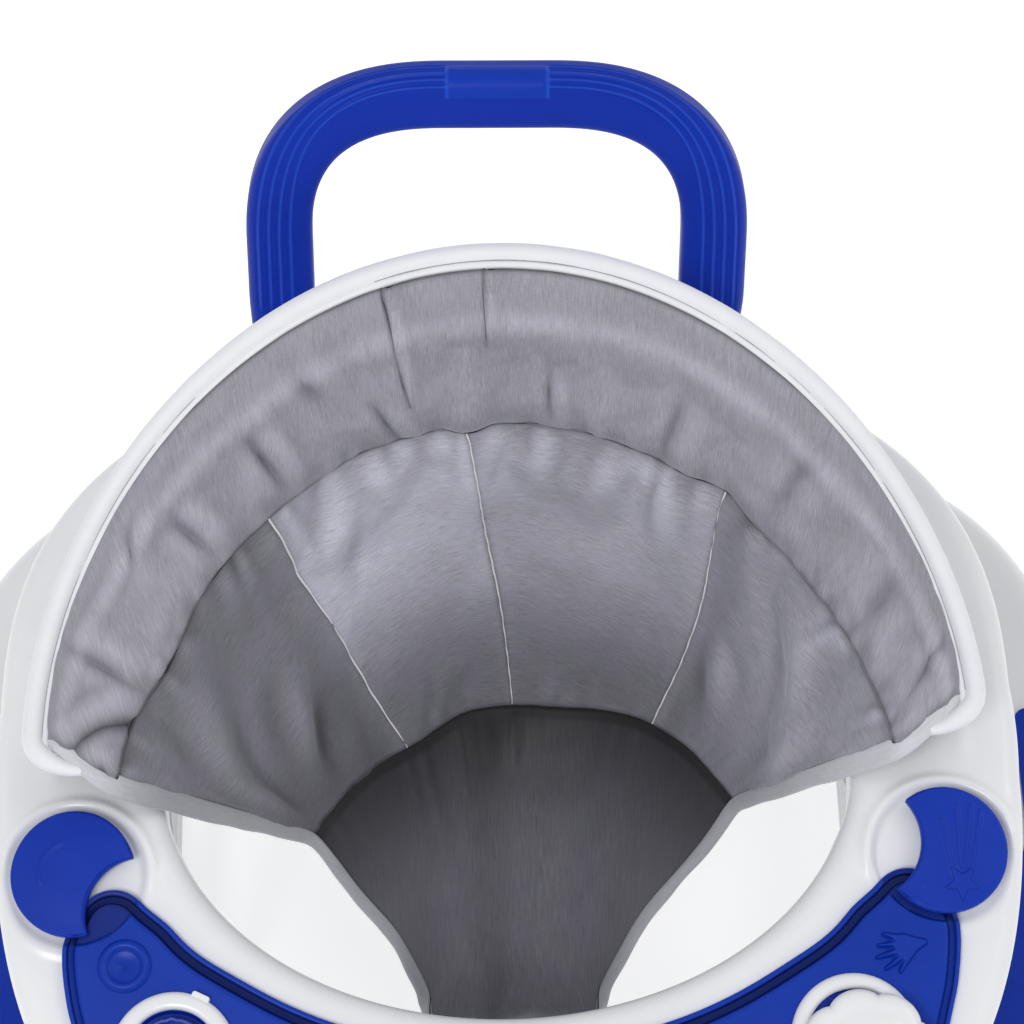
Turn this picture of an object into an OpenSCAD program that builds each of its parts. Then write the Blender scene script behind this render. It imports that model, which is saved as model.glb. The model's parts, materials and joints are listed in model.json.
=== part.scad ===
// Baby walker: a wheeled base ring, a folding scissor frame on each side, and a
// play tray that carries a slung fabric seat, a backrest ring and a push handle.
// +X is the child's left-hand side seen from the front, +Y the back, +Z up.
// The origin is on the floor under the middle of the base.

/* [Base] */
// Width of the base ring
base_w = 680; // [640:10:720]
// Length of the base ring
base_l = 660; // [640:10:700]
// Corner radius of the base ring
base_corner = 155; // [120:5:180]
// Height of the top of the base cover
base_top = 84; // [82:1:90]
// Height of the lower edge of the base cover
skirt_z = 34; // [30:1:38]
// Wall of the plastic mouldings
wall = 3; // [2:0.5:4]
// Thickness of the coloured trims on the base
trim_t = 4; // [2:1:6]

/* [Casters] */
// Diameter of a wheel
wheel_d = 42; // [38:1:44]
// Width of a wheel
wheel_w = 15; // [12:1:16]
// Distance from a swivel axis back to its wheel's axle
trail = 12; // [8:1:14]

/* [Folding frame] */
// Length of an arm below the middle pin
arm_lower = 190; // [180:1:192]
// Length of an arm above the middle pin
arm_upper = 146; // [140:1:148]
// Angle of the arms above the floor in use
arm_angle = 58; // [50:1:62]
// Angle of the arms when the walker is folded flat
arm_folded = 18; // [16:1:24]
// Angle of the arms at the highest tray position
arm_raised = 68; // [60:1:68]
// Diameter of the frame pins
pin_d = 8; // [6:1:8]

/* [Tray] */
// Half the width of the tray
tray_a = 250; // [240:1:260]
// Reach of the tray ahead of its widest line
tray_front = 243; // [230:1:250]
// Reach of the tray behind its widest line
tray_rear = 195; // [190:1:205]
// Slope of the front of the tray
tray_slope = 12; // [6:1:14]
// Height of the flat part of the tray
tray_z = 402; // [395:1:410]

/* [Seat] */
// Half the width of the backrest rim
rim_a = 230; // [224:1:234]
// Depth of the backrest rim
rim_b = 209; // [200:1:212]
// Height of the rim at the child's sides
rim_low = 440; // [436:1:444]
// Rise of the rim to the middle of the back
rim_rise = 100; // [90:1:105]

/* [Push handle] */
// Distance between the handle's legs, centre to centre
handle_w = 208; // [200:1:216]
// Width of the handle bar
bar_w = 32.5; // [28:0.5:34]
// Thickness of the handle bar
bar_t = 24; // [20:1:26]
// Lean of the handle above the floor
handle_lean = 61.8; // [56:0.1:66]

/* [Hidden] */
$fn = 64;
eps = 0.01;
run = 0.05;
gap = 0.3;
SIDES = ["left", "right"];
CASTERS = ["front_left", "front_right", "middle_left", "middle_right", "rear_left", "rear_right"];

// Base ring
opening_w = 424;
opening_l = 492;
opening_corner = 40;
roof_z = base_top - wall;
trim_inset = 22;
trim_back_y = 145;
trim_edge_x = 304;

// Casters: one list of swivel positions, in the order of CASTERS
caster_x = 246;
caster_y = 254;
caster_mid_x = 276;
caster_pos = [[-caster_x, -caster_y], [caster_x, -caster_y], [-caster_mid_x, 0],
              [caster_mid_x, 0], [-caster_x, caster_y], [caster_x, caster_y]];
axle_z = wheel_d / 2;
axle_r = 2.5;
fork_top = 49.6;
fork_plate_z = wheel_d + 2;
stem_r = 4;
stem_top = 70;
socket_z = 50;
cheek_in = wheel_w / 2 + 1.1;
cheek_t = 3;

// Scissor frame: heights and fore-and-aft places of the pins in use
arm_w = 24;
arm_t = 8;
pin_r = pin_d / 2;
arm_a_x = 178;
arm_b_x = arm_a_x + arm_t + 1;
rail_x = arm_b_x + arm_t + 2;
rail_t = 8;
pivot_y = 155;
pivot_z = 75;
arm_len = arm_lower + arm_upper;
top_z = pivot_z + arm_len * sin(arm_angle);
foot_y = pivot_y - 2 * arm_lower * cos(arm_angle);
cross_y = pivot_y - arm_lower * cos(arm_angle);
cross_z = pivot_z + arm_lower * sin(arm_angle);
top_pivot_y = cross_y + arm_upper * cos(arm_angle);
top_slide_y = cross_y - arm_upper * cos(arm_angle);
slot_play = 0.3;
rail_end = 7.5;
rail_h = 26;

// Tray: outline, leg opening and the fold line of its sloping front
tray_mid_y = -30;
tray_back_y = 20;
slope_y = -45;
fold_lap = 0.3;
plate_t = 4;
tray_bottom = tray_z - 30;
channel_x = 176.6;
hole_y = -20;
hole_a = 168;
hole_front = 122;
hole_back = 168;

// Console and toys, in the tray's unsloped frame
console_z = tray_z + 4.5;
toy_x = 161;
toy_y = -157;
bezel_r = 30;
bezel_in = 21.3;
bezel_h = 6.5;
ball_r = 18;
ball_up = 3.2;
flower_x = 166;
flower_y = -169;
flower_r = 33;
disc_x = 209;
disc_y = -70;
disc_r = 30;
disc_z = console_z + 0.5;
disc_t = 5;
disc_well = 33.3;
bite_r = 28;
bite_d = 39.5;
box_y = -213;
box_w = 116;
box_l = 58;
box_z0 = console_z + 0.1;
box_z1 = tray_z + 26;
button_r = 9;
button_pitch = 34;
button_y = box_y - 4;
latch_y = -205;
latch_z = tray_bottom - 7;

// Handle and its sockets
bar_corner = 60;
bar_top = 136;
leg_bottom = -47;
handle_y = 195;
handle_z = 450;
socket_top = -18;
leg_x = handle_w / 2;
snap_y = -32;

// Seat: mouth of the ring, seams and sling
seat_y = -15;
ring_a = 214;
ring_b = 172;
ring_t = 5;
rim_end = 93;
seat_o = [0, 20, 420];
sling_y = [73, 30, -20, -70, -102, -120, -127];
sling_z = [270, 256, 250, 250, 264, 305, 366];
sling_w = [100, 82, 61, 45, 42, 41, 40];
sling_back = [-95, -72, -42, -18, -4, 0, 0];
sling_lift = [55, 50, 38, 10, 2, 0, 0];

// ---------------------------------------------------------------- helpers

function ellipse_pts(a, front, back, yc, n = 72) =
    [for (i = [0:n - 1]) let (t = 360 * i / n)
        [a * cos(t), yc + (sin(t) < 0 ? front : back) * sin(t)]];

// Two squared ellipses, the rear one the squarer, joined by short straight sides
function tray_pts(d = 0) = concat(
    [for (i = [0:36]) let (t = 180 + 5 * i)
        [(tray_a - d) * sign(cos(t)) * pow(abs(cos(t)), 0.84),
         tray_mid_y - (tray_front - d) * pow(abs(sin(t)), 0.84)]],
    [for (i = [0:36]) let (t = 5 * i)
        [(tray_a - d) * sign(cos(t)) * pow(abs(cos(t)), 0.8),
         tray_back_y + (tray_rear - d) * pow(sin(t), 0.8)]]);

module rrect(w, l, r) {
    square([w - 2 * r, l], center = true);
    square([w, l - 2 * r], center = true);
    for (x = [-1, 1], y = [-1, 1])
        translate([x * (w / 2 - r), y * (l / 2 - r)]) circle(r);
}

module slab(z0, z1) translate([0, 0, z0]) linear_extrude(z1 - z0) children();

module tube_z(r, z0, z1) translate([0, 0, z0]) cylinder(r = r, h = z1 - z0);

module tube_x(r, x0, x1) translate([x0, 0, 0]) rotate([0, 90, 0]) cylinder(r = r, h = x1 - x0);

// Plate standing in the YZ plane, from x to x + t
module side_plate(x, t) translate([x, 0, 0]) rotate([90, 0, 90]) linear_extrude(t) children();

module mirror_side(side) {
    if (side == "left") mirror([1, 0, 0]) children();
    else children();
}

// Moves a shape from the tray's unsloped frame onto the sloping front
module on_slope()
    translate([0, slope_y, tray_z]) rotate([tray_slope, 0, 0]) translate([0, -slope_y, -tray_z]) children();

// Bends a shape at the fold line: flat behind it, sloping ahead of it
module bent() {
    intersection() {
        children();
        translate([-400, slope_y, 200]) cube([800, 600, 400]);
    }
    on_slope() intersection() {
        children();
        translate([-400, slope_y - 600, 200]) cube([800, 600 + fold_lap, 400]);
    }
}

module on_handle() translate([0, handle_y, handle_z]) rotate([handle_lean, 0, 0]) children();

function away(p, d) = p + d * (p - seat_o) / norm(p - seat_o);

function mix(a, b, v) = a + (b - a) * v;

// Closed solid between two grids of points with the same layout, as rows of columns
module thick_grid(front, back) {
    rows = len(front);
    cols = len(front[0]);
    half = rows * cols;
    pts = concat([for (r = front) for (p = r) p], [for (r = back) for (p = r) p]);
    rim = concat(
        [for (c = [0:cols - 1]) c],
        [for (r = [1:rows - 1]) r * cols + cols - 1],
        [for (c = [cols - 2:-1:0]) (rows - 1) * cols + c],
        [for (r = [rows - 2:-1:1]) r * cols]);
    n = len(rim);
    skin = [for (r = [0:rows - 2]) for (c = [0:cols - 2]) let (a = r * cols + c)
        each [[a, a + cols, a + 1], [a + 1, a + cols, a + cols + 1]]];
    polyhedron(pts, concat(
        [for (f = skin) f],
        [for (f = skin) [for (i = [2:-1:0]) f[i] + half]],
        [for (i = [0:n - 1]) let (a = rim[i], b = rim[(i + 1) % n])
            each [[a, b, b + half], [a, b + half, a + half]]]), convexity = 6);
}

// Closed solid through a row of sections, each a ring of points
module loft(rings) {
    m = len(rings[0]);
    last = (len(rings) - 1) * m;
    polyhedron([for (r = rings) for (p = r) p], concat(
        [[for (i = [0:m - 1]) i]],
        [[for (i = [m - 1:-1:0]) last + i]],
        [for (k = [0:len(rings) - 2]) for (i = [0:m - 1])
            let (a = k * m + i, b = k * m + (i + 1) % m)
            each [[a, a + m, b], [b, a + m, b + m]]]), convexity = 6);
}

// ---------------------------------------------------------------- base

module base_ring_2d(inset = 0) difference() {
    rrect(base_w - 2 * inset, base_l - 2 * inset, base_corner - inset);
    rrect(opening_w + 2 * inset, opening_l + 2 * inset, opening_corner + inset);
}

module base_cover() color("white") difference() {
    slab(skirt_z, base_top) base_ring_2d();
    slab(skirt_z - 1, roof_z) base_ring_2d(wall);
}

module base_trim(side) color("mediumblue") mirror_side(side)
    slab(base_top, base_top + trim_t) intersection() {
        base_ring_2d(trim_inset);
        union() {
            polygon([[trim_edge_x, 60], [262, -30], [240, -200], [120, -235], [120, -400],
                     [400, -400], [400, 60]]);
            translate([trim_edge_x + 8, 50]) square([60, trim_back_y - 50]);
            translate([trim_edge_x, 50]) square([60, trim_back_y - 58]);
            translate([trim_edge_x + 8, trim_back_y - 8]) circle(8);
        }
    }

module anti_roll_pads() color("dimgray")
    for (p = [[-276, -125], [276, -125], [-276, 125], [276, 125], [0, -288], [0, 288]])
        translate(p) {
            tube_z(15, 8, 20);
            tube_z(11, 20, roof_z);
        }

module caster_sockets() color("gainsboro")
    for (p = caster_pos) translate(p) difference() {
        union() {
            tube_z(11, socket_z, roof_z);
            tube_z(20, roof_z - 5, roof_z);
        }
        tube_z(stem_r + 0.08, socket_z - 1, 72);
        for (x = [-15.5, 15.5]) translate([x, 0, 0]) tube_z(1.6, roof_z - 6, roof_z + 1);
    }

module base_screws() color("silver")
    for (p = caster_pos, x = [-15.5, 15.5]) translate([p[0] + x, p[1], 0]) difference() {
        union() {
            tube_z(1.6, roof_z - 5, roof_z);
            tube_z(3.4, roof_z - 7.5, roof_z - 5);
        }
        translate([-0.5, -2.5, roof_z - 8]) cube([1, 5, 1.5]);
    }

// Slot for a pin of the scissor frame, cut across the rail along Y
module pin_slot(y0, y1, z) {
    for (y = [y0, y1]) translate([0, y, z]) tube_x(pin_r + slot_play, rail_x - 1, rail_x + rail_t + 1);
    translate([rail_x - 1, y0, z - pin_r - slot_play])
        cube([rail_t + 2, y1 - y0, 2 * (pin_r + slot_play)]);
}

function foot_at(angle) = pivot_y - 2 * arm_lower * cos(angle);

module base_rail(side) color("whitesmoke") mirror_side(side) difference() {
    union() {
        translate([rail_x, foot_at(arm_folded) - 9, pivot_z - rail_h / 2])
            cube([rail_t, pivot_y + 15 - foot_at(arm_folded) + 9, rail_h]);
        for (y = [-150, -50, 50, 140])
            translate([0, y, pivot_z - 4]) tube_x(8, rail_x + rail_t - eps, opening_w / 2);
    }
    translate([0, pivot_y, pivot_z]) tube_x(pin_r, rail_x - 1, rail_x + rail_t + 1);
    pin_slot(foot_at(arm_folded) - 0.3, foot_at(arm_raised) + 0.3, pivot_z);
}

module base_pivot_pins() color("silver")
    for (side = SIDES) mirror_side(side) translate([0, pivot_y, pivot_z]) {
        tube_x(7, arm_a_x - gap - 2.5, arm_a_x - gap);
        tube_x(pin_r, arm_a_x - gap - eps, rail_x + rail_t);
        difference() {
            tube_x(7, arm_a_x + arm_t + gap, rail_x);
            tube_x(pin_r, arm_a_x, rail_x + 1);
        }
    }

// ---------------------------------------------------------------- casters

module caster_fork(i) color("whitesmoke") translate(caster_pos[i]) {
    difference() {
        union() {
            tube_z(17, fork_plate_z, fork_top);
            tube_z(stem_r, fork_top - eps, stem_top);
            for (s = [-1, 1]) side_plate(s > 0 ? cheek_in : -cheek_in - cheek_t, cheek_t) {
                polygon([[-10, fork_top - 1], [12, fork_top - 1], [trail + 6.5, axle_z], [trail - 6.5, axle_z]]);
                translate([trail, axle_z]) circle(6.5);
            }
        }
        translate([0, trail, axle_z]) tube_x(axle_r, -20, 20);
    }
}

module caster_axle(i) color("silver")
    translate(concat(caster_pos[i], [0])) translate([0, trail, axle_z])
        tube_x(axle_r, -cheek_in - cheek_t, cheek_in + cheek_t);

module caster_wheel(i) color("dimgray")
    translate(concat(caster_pos[i], [0])) translate([0, trail, axle_z]) rotate([0, 90, 0])
        rotate_extrude() difference() {
            translate([axle_r + run, -wheel_w / 2]) square([wheel_d / 2 - axle_r - run, wheel_w]);
            for (s = [-1, 1]) {
                translate([7, s > 0 ? wheel_w / 2 - 2.5 : -wheel_w / 2 - 1]) square([8.5, 3.5]);
                translate([wheel_d / 2, s * wheel_w / 2]) rotate(45) square(3, center = true);
            }
            translate([wheel_d / 2, 0]) circle(r = 1.2);
        }

// ---------------------------------------------------------------- scissor frame

// One flat arm along +Y from its lower pin, with its three bores
module arm_bar(x, bore_low, bore_mid, bore_top) difference() {
    side_plate(x, arm_t) {
        translate([0, -arm_w / 2]) square([arm_len, arm_w]);
        for (y = [0, arm_len]) translate([y, 0]) circle(arm_w / 2);
    }
    tube_x(bore_low, x - 1, x + arm_t + 1);
    translate([0, arm_lower, 0]) tube_x(bore_mid, x - 1, x + arm_t + 1);
    translate([0, arm_len, 0]) tube_x(bore_top, x - 1, x + arm_t + 1);
    for (span = [[16, arm_lower - 16], [arm_lower + 16, arm_len - 16]], s = [x - 1, x + arm_t - 1.5])
        translate([s, span[0], -arm_w / 2 + 4]) cube([2.5, span[1] - span[0], arm_w - 8]);
}

module place_a() translate([0, pivot_y, pivot_z]) rotate([180 - arm_angle, 0, 0]) children();

module place_b() translate([0, foot_y, pivot_z]) rotate([arm_angle, 0, 0]) children();

module arm_a(side) color("whitesmoke") mirror_side(side) place_a()
    arm_bar(arm_a_x, pin_r + run, pin_r, pin_r);

module arm_b(side) color("whitesmoke") mirror_side(side) place_b()
    arm_bar(arm_b_x, pin_r, pin_r + run, pin_r + run);

module arm_a_pins(side) color("silver") mirror_side(side) {
    translate([0, cross_y, cross_z]) {
        tube_x(7, arm_a_x - 2.3, arm_a_x);
        tube_x(pin_r, arm_a_x - eps, arm_b_x + arm_t + gap + eps);
        tube_x(7, arm_b_x + arm_t + gap, arm_b_x + arm_t + gap + 2);
    }
    translate([0, top_slide_y, top_z]) {
        tube_x(pin_r, arm_a_x, rail_x + rail_t - 1);
        difference() {
            tube_x(6, arm_a_x + arm_t, rail_x - gap);
            tube_x(pin_r, arm_a_x, rail_x);
        }
    }
}

module arm_b_pins(side) color("silver") mirror_side(side) translate([0, foot_y, pivot_z]) {
    tube_x(7, arm_b_x - 2.3, arm_b_x);
    tube_x(pin_r, arm_b_x - eps, rail_x + rail_t - 1);
    difference() {
        tube_x(6, arm_b_x + arm_t, rail_x - gap);
        tube_x(pin_r, arm_b_x, rail_x);
    }
}

// ---------------------------------------------------------------- tray

module hole_2d(grow = 0)
    polygon(ellipse_pts(hole_a + grow, hole_front + grow, hole_back + grow, hole_y));

module handle_socket_solid(s) on_handle() translate([s * leg_x, 0, 0]) difference() {
    translate([-bar_w / 2 - 4, leg_bottom - 60, -bar_t / 2 - 4]) cube([bar_w + 8, socket_top - leg_bottom + 60, bar_t + 8]);
    translate([-bar_w / 2 - gap, leg_bottom - 0.5, -bar_t / 2 - gap])
        cube([bar_w + 2 * gap, 100, bar_t + 2 * gap]);
    translate([s > 0 ? 0 : -40, snap_y, 0]) tube_x(5.3, 0, 40);
}

module tray_top() color("white") {
    bent() difference() {
        slab(tray_bottom, tray_z) polygon(tray_pts());
        slab(tray_bottom - 1, tray_z - plate_t) difference() {
            polygon(tray_pts(wall));
            hole_2d(wall);
        }
        slab(tray_bottom - 2, tray_z + 1) hole_2d();
        translate([-toy_x, toy_y, 0]) tube_z(ball_r + 2, tray_z - 10, tray_z + 1);
    }
    on_slope() for (s = [-1, 1]) translate([s * disc_x, disc_y, 0]) tube_z(7, tray_z - 1, disc_z - 0.3);
    on_slope() for (s = [-1, 1]) translate([s * disc_x, disc_y, 0]) tube_z(4, disc_z - 1, disc_z + 3);
    intersection() {
        for (s = [-1, 1]) handle_socket_solid(s);
        translate([-400, 0, tray_z - 1]) cube([800, 400, 200]);
    }
}

module tray_underside() color("whitesmoke") difference() {
    union() {
        bent() slab(tray_bottom, tray_bottom + 2.5) difference() {
            polygon(tray_pts(wall + 1));
            hole_2d(wall + 2);
            translate([-40, -250]) square([80, 36]);
        }
        on_slope() for (s = [-1, 1]) translate([s * 38 - 3, latch_y - 6, latch_z - 6])
            cube([6, 12, tray_bottom - latch_z + 6.2]);
    }
    on_slope() translate([0, latch_y, latch_z]) tube_x(2.55, -50, 50);
    for (side = SIDES) mirror_side(side) translate([channel_x, -190, 300]) cube([100, 340, 100]);
}

function slide_at(angle) = top_pivot_y - 2 * arm_upper * cos(angle);

module tray_rail(side) color("whitesmoke") mirror_side(side) difference() {
    side_plate(rail_x, rail_t) polygon([
        [slide_at(arm_folded) - rail_end, top_z - rail_h / 2],
        [top_pivot_y + 15, top_z - rail_h / 2],
        [top_pivot_y + 15, tray_z - plate_t - 0.1],
        [slope_y + plate_t * sin(tray_slope), tray_z - plate_t - 0.1],
        [slide_at(arm_folded) - rail_end,
         tray_z - plate_t - 0.1 - (slope_y + 0.8 - slide_at(arm_folded) + rail_end) * tan(tray_slope)]]);
    translate([0, top_pivot_y, top_z]) tube_x(pin_r, rail_x - 1, rail_x + rail_t + 1);
    pin_slot(slide_at(arm_folded) - 0.3, slide_at(arm_raised) + 0.3, top_z);
}

module tray_pivot_pins() color("silver")
    for (side = SIDES) mirror_side(side) translate([0, top_pivot_y, top_z]) {
        tube_x(7, arm_b_x - gap - 2, arm_b_x - gap);
        tube_x(pin_r, arm_b_x - gap - eps, rail_x + rail_t);
        difference() {
            tube_x(7, arm_b_x + arm_t + gap, rail_x);
            tube_x(pin_r, arm_b_x, rail_x + 1);
        }
    }

module height_latch() color("mediumblue") on_slope() translate([0, latch_y, latch_z]) {
    tube_x(4.5, -34.5, 34.5);
    tube_x(2.5, -41, 41);
    translate([-32, -34, -2]) cube([64, 34, 4]);
}

module battery_door() color("whitesmoke") on_slope() {
    slab(tray_bottom, tray_bottom + 2.5) translate([-39.5, -249.5]) square([79, 35]);
}

// ---------------------------------------------------------------- console and toys

module console_2d() difference() {
    union() {
        intersection() {
            polygon(ellipse_pts(247, 230, 230, tray_mid_y));
            translate([-215, -300]) square([430, 208]);
        }
        for (s = [-1, 1]) translate([s * 190, -94]) circle(17.5);
    }
    polygon(ellipse_pts(190, 138, 138, hole_y));
}

module console() color("mediumblue") on_slope() difference() {
    slab(tray_z + 0.1, console_z) console_2d();
    translate([-toy_x, toy_y, 0]) tube_z(ball_r + 2, tray_z - 1, console_z + 1);
    for (s = [-1, 1]) translate([s * disc_x, disc_y, 0]) {
        tube_z(7.4, tray_z - 1, console_z + 1);
        tube_z(disc_well, console_z - 1.5, console_z + 1);
    }
}

module lock_disc(side) {
    turn = side == "left" ? -31 : 171;
    s = side == "left" ? -1 : 1;
    color("mediumblue") on_slope() translate([s * disc_x, disc_y, 0]) difference() {
        tube_z(disc_r, disc_z, disc_z + disc_t);
        rotate(turn) translate([bite_d, 0, 0]) tube_z(bite_r, disc_z - 1, disc_z + disc_t + 1);
        tube_z(4 + run, disc_z - 1, disc_z + 3.3);
    }
}

module toy_bezels() color("white") on_slope() {
    translate([-toy_x, toy_y, 0]) difference() {
        tube_z(bezel_r, console_z, console_z + bezel_h);
        tube_z(bezel_in, console_z - 1, console_z + bezel_h + 1);
        translate([0, 0, console_z + ball_up]) tube_x(2.6, -25, 25);
    }
    translate([toy_x, toy_y, 0]) {
        difference() {
            tube_z(bezel_r, console_z, console_z + bezel_h);
            tube_z(bezel_in + 1, console_z + 1, console_z + bezel_h + 1);
        }
    }
    translate([flower_x, flower_y, 0]) tube_z(4, console_z + 1, console_z + 15);
}

module roller_ball() color("mediumblue") on_slope() translate([-toy_x, toy_y, console_z + ball_up]) {
    sphere(r = ball_r);
    tube_x(2.5, -24.5, 24.5);
}

module flower_knob() color("white") on_slope() translate([flower_x, flower_y, 0]) difference() {
    union() {
        for (i = [0:7]) rotate(45 * i) translate([flower_r - 9, 0, 0]) tube_z(9, console_z + 7, console_z + 17);
        tube_z(flower_r - 6, console_z + 6.8, console_z + 19);
    }
    tube_z(4 + run, console_z, console_z + 15.3);
}

module music_box() color("mediumblue") on_slope() difference() {
    slab(box_z0, box_z1) translate([0, box_y]) rrect(box_w, box_l, 16);
    slab(box_z0 - 1, box_z1 - wall) translate([0, box_y]) rrect(box_w - 2 * wall, box_l - 2 * wall, 13);
    for (i = [-1:1]) translate([i * button_pitch, button_y, 0]) tube_z(button_r + 0.4, box_z0, box_z1 + 1);
    for (i = [-3:3]) translate([i * 7, box_y + 19, 0]) tube_z(1.6, box_z0, box_z1 + 1);
}

module melody_button(i, c) color(c) on_slope() translate([i * button_pitch, button_y, 0]) {
    tube_z(button_r, box_z1 - wall - gap - 3, box_z1 + 3.5);
    tube_z(button_r + 2.5, box_z1 - wall - gap - 3, box_z1 - wall - gap);
}

// ---------------------------------------------------------------- handle

module push_handle() color("mediumblue") on_handle() difference() {
    union() {
        for (s = [-1, 1]) {
            translate([s * leg_x, leg_bottom, 0]) rotate([-90, 0, 0])
                linear_extrude(bar_top - bar_corner - leg_bottom) rrect(bar_w, bar_t, 8);
            translate([s * (leg_x - bar_corner), bar_top - bar_corner, 0]) rotate(s > 0 ? 0 : 90)
                rotate_extrude(angle = 90) translate([bar_corner, 0]) rrect(bar_w, bar_t, 8);
        }
        translate([-(leg_x - bar_corner), bar_top, 0]) rotate([90, 0, 90])
            linear_extrude(2 * (leg_x - bar_corner)) rrect(bar_w, bar_t, 8);
        translate([0, bar_top, bar_t / 2 - 1]) slab(0, 2.2) rrect(48, 20, 3);
    }
    for (s = [-1, 1]) translate([s > 0 ? leg_x : -leg_x - 20, snap_y, 0]) tube_x(5.2, 0, 20);
}

module handle_button(side) color("gainsboro") mirror_side(side) on_handle()
    translate([leg_x, snap_y, 0]) tube_x(5, 7, bar_w / 2 + 6);

// ---------------------------------------------------------------- backrest and seat

function rim_z(t) = rim_low + rim_rise * pow(max(0, cos(t)), 1.7);

function rim_pt(t, inset = 0, drop = 0) =
    [(rim_a - inset) * sin(t), seat_y + (rim_b - inset) * cos(t), rim_z(t) - drop];

function ring_pt(t, inset = 0) =
    [(ring_a - inset) * sin(t), seat_y + (ring_b - inset) * cos(t), tray_z + 0.1];

module seat_ring() color("white") loft([for (i = [0:48]) let (t = -rim_end + 2 * rim_end * i / 48)
    [ring_pt(t), rim_pt(t, 0, 9), rim_pt(t, ring_t, 9), ring_pt(t, ring_t)]]);

module rim_trim() color("white") loft([for (i = [0:48]) let (t = -rim_end + 2 * rim_end * i / 48)
    [for (k = [0:7]) rim_pt(t, 2.5 - 4.2 * cos(45 * k), 4.6 - 4.2 * sin(45 * k))]]);

// Seam between the padded band and the seat's wall, and seam above the sling
function seam_top(u) = let (t = 90 * u)
    [187 * sin(t), -33 + 184 * pow(cos(t), 1.3), 430 + 15 * cos(t)];

function seam_low(u) = let (s = sin(90 * u))
    [100 * s, 73 - 95 * pow(abs(s), 2.6), 270 + 55 * pow(abs(s), 3)];

function sling_pt(s, k) =
    [sling_w[k] * s, sling_y[k] + sling_back[k] * pow(abs(s), 2.6), sling_z[k] + sling_lift[k] * pow(abs(s), 3)];

function grid_back(g, t) = [for (row = g) [for (p = row) away(p, t)]];

module seat_band() color("dimgray") {
    top = [for (i = [0:40]) rim_pt(-rim_end + 2 * rim_end * i / 40, 8, 3)];
    low = [for (i = [0:40]) seam_top(-1 + i / 20)];
    out = [for (i = [0:40]) let (n = cross(top[min(i + 1, 40)] - top[max(i - 1, 0)], low[i] - top[i]))
        n / norm(n)];
    face = [for (v = [0:0.25:1]) [for (i = [0:40]) mix(top[i], low[i], v) - 6 * sin(180 * v) * out[i]]];
    thick_grid(face, [for (r = [0:4]) [for (i = [0:40]) face[r][i] + (1.5 + 7 * sin(45 * r)) * out[i]]]);
}

module seat_panels() color("gray") {
    face = [for (v = [0.04:0.2375:1]) [for (i = [0:40])
        away(mix(seam_top(-1 + i / 20), seam_low(-1 + i / 20), v), 10 * sin(180 * v) * sin(4.5 * i))]];
    thick_grid(face, grid_back(face, 3));
}

module seat_sling() color("slategray") {
    face = [for (k = [0:6]) [for (i = [0:20]) sling_pt(-1 + i / 10, k)]];
    thick_grid(face, grid_back(face, 3));
}

// ---------------------------------------------------------------- assembly

base_cover();
for (side = SIDES) base_trim(side);
anti_roll_pads();
caster_sockets();
for (side = SIDES) base_rail(side);
base_pivot_pins();
base_screws();
for (side = SIDES) {
    arm_a(side);
    arm_b(side);
    arm_a_pins(side);
    arm_b_pins(side);
}
for (i = [0:5]) {
    caster_fork(i);
    caster_wheel(i);
    caster_axle(i);
}
tray_top();
tray_underside();
for (side = SIDES) tray_rail(side);
tray_pivot_pins();
seat_ring();
push_handle();
for (side = SIDES) handle_button(side);
console();
for (side = SIDES) lock_disc(side);
toy_bezels();
roller_ball();
flower_knob();
music_box();
battery_door();
melody_button(-1, "mediumblue");  // melody_button_left
melody_button(0, "white");  // melody_button_middle
melody_button(1, "mediumblue");  // melody_button_right
seat_band();
seat_panels();
seat_sling();
rim_trim();
height_latch();
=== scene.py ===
import json
import math

import bmesh
import bpy
import numpy as np
from mathutils import Matrix, Vector, noise

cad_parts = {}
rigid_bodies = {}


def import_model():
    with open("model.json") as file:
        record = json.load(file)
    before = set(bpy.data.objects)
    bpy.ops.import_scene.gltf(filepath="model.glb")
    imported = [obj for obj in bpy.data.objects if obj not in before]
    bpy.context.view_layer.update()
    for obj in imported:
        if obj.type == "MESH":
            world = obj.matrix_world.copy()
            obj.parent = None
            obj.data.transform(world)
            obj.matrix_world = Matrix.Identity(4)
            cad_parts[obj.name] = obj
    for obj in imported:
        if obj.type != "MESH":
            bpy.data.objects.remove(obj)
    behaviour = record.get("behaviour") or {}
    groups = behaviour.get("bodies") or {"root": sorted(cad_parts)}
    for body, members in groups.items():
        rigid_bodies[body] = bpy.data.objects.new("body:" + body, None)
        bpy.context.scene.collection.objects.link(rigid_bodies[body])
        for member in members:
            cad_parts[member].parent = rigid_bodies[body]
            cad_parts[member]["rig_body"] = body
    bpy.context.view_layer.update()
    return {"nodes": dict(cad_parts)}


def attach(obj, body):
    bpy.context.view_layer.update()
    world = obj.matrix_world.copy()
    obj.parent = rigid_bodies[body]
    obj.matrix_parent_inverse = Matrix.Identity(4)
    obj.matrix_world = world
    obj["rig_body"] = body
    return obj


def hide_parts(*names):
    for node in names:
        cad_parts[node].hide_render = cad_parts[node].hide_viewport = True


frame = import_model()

NODES = frame["nodes"]
MM = 0.001

# ---------------------------------------------------------------- sizes, in mm, as in the CAD source

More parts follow.
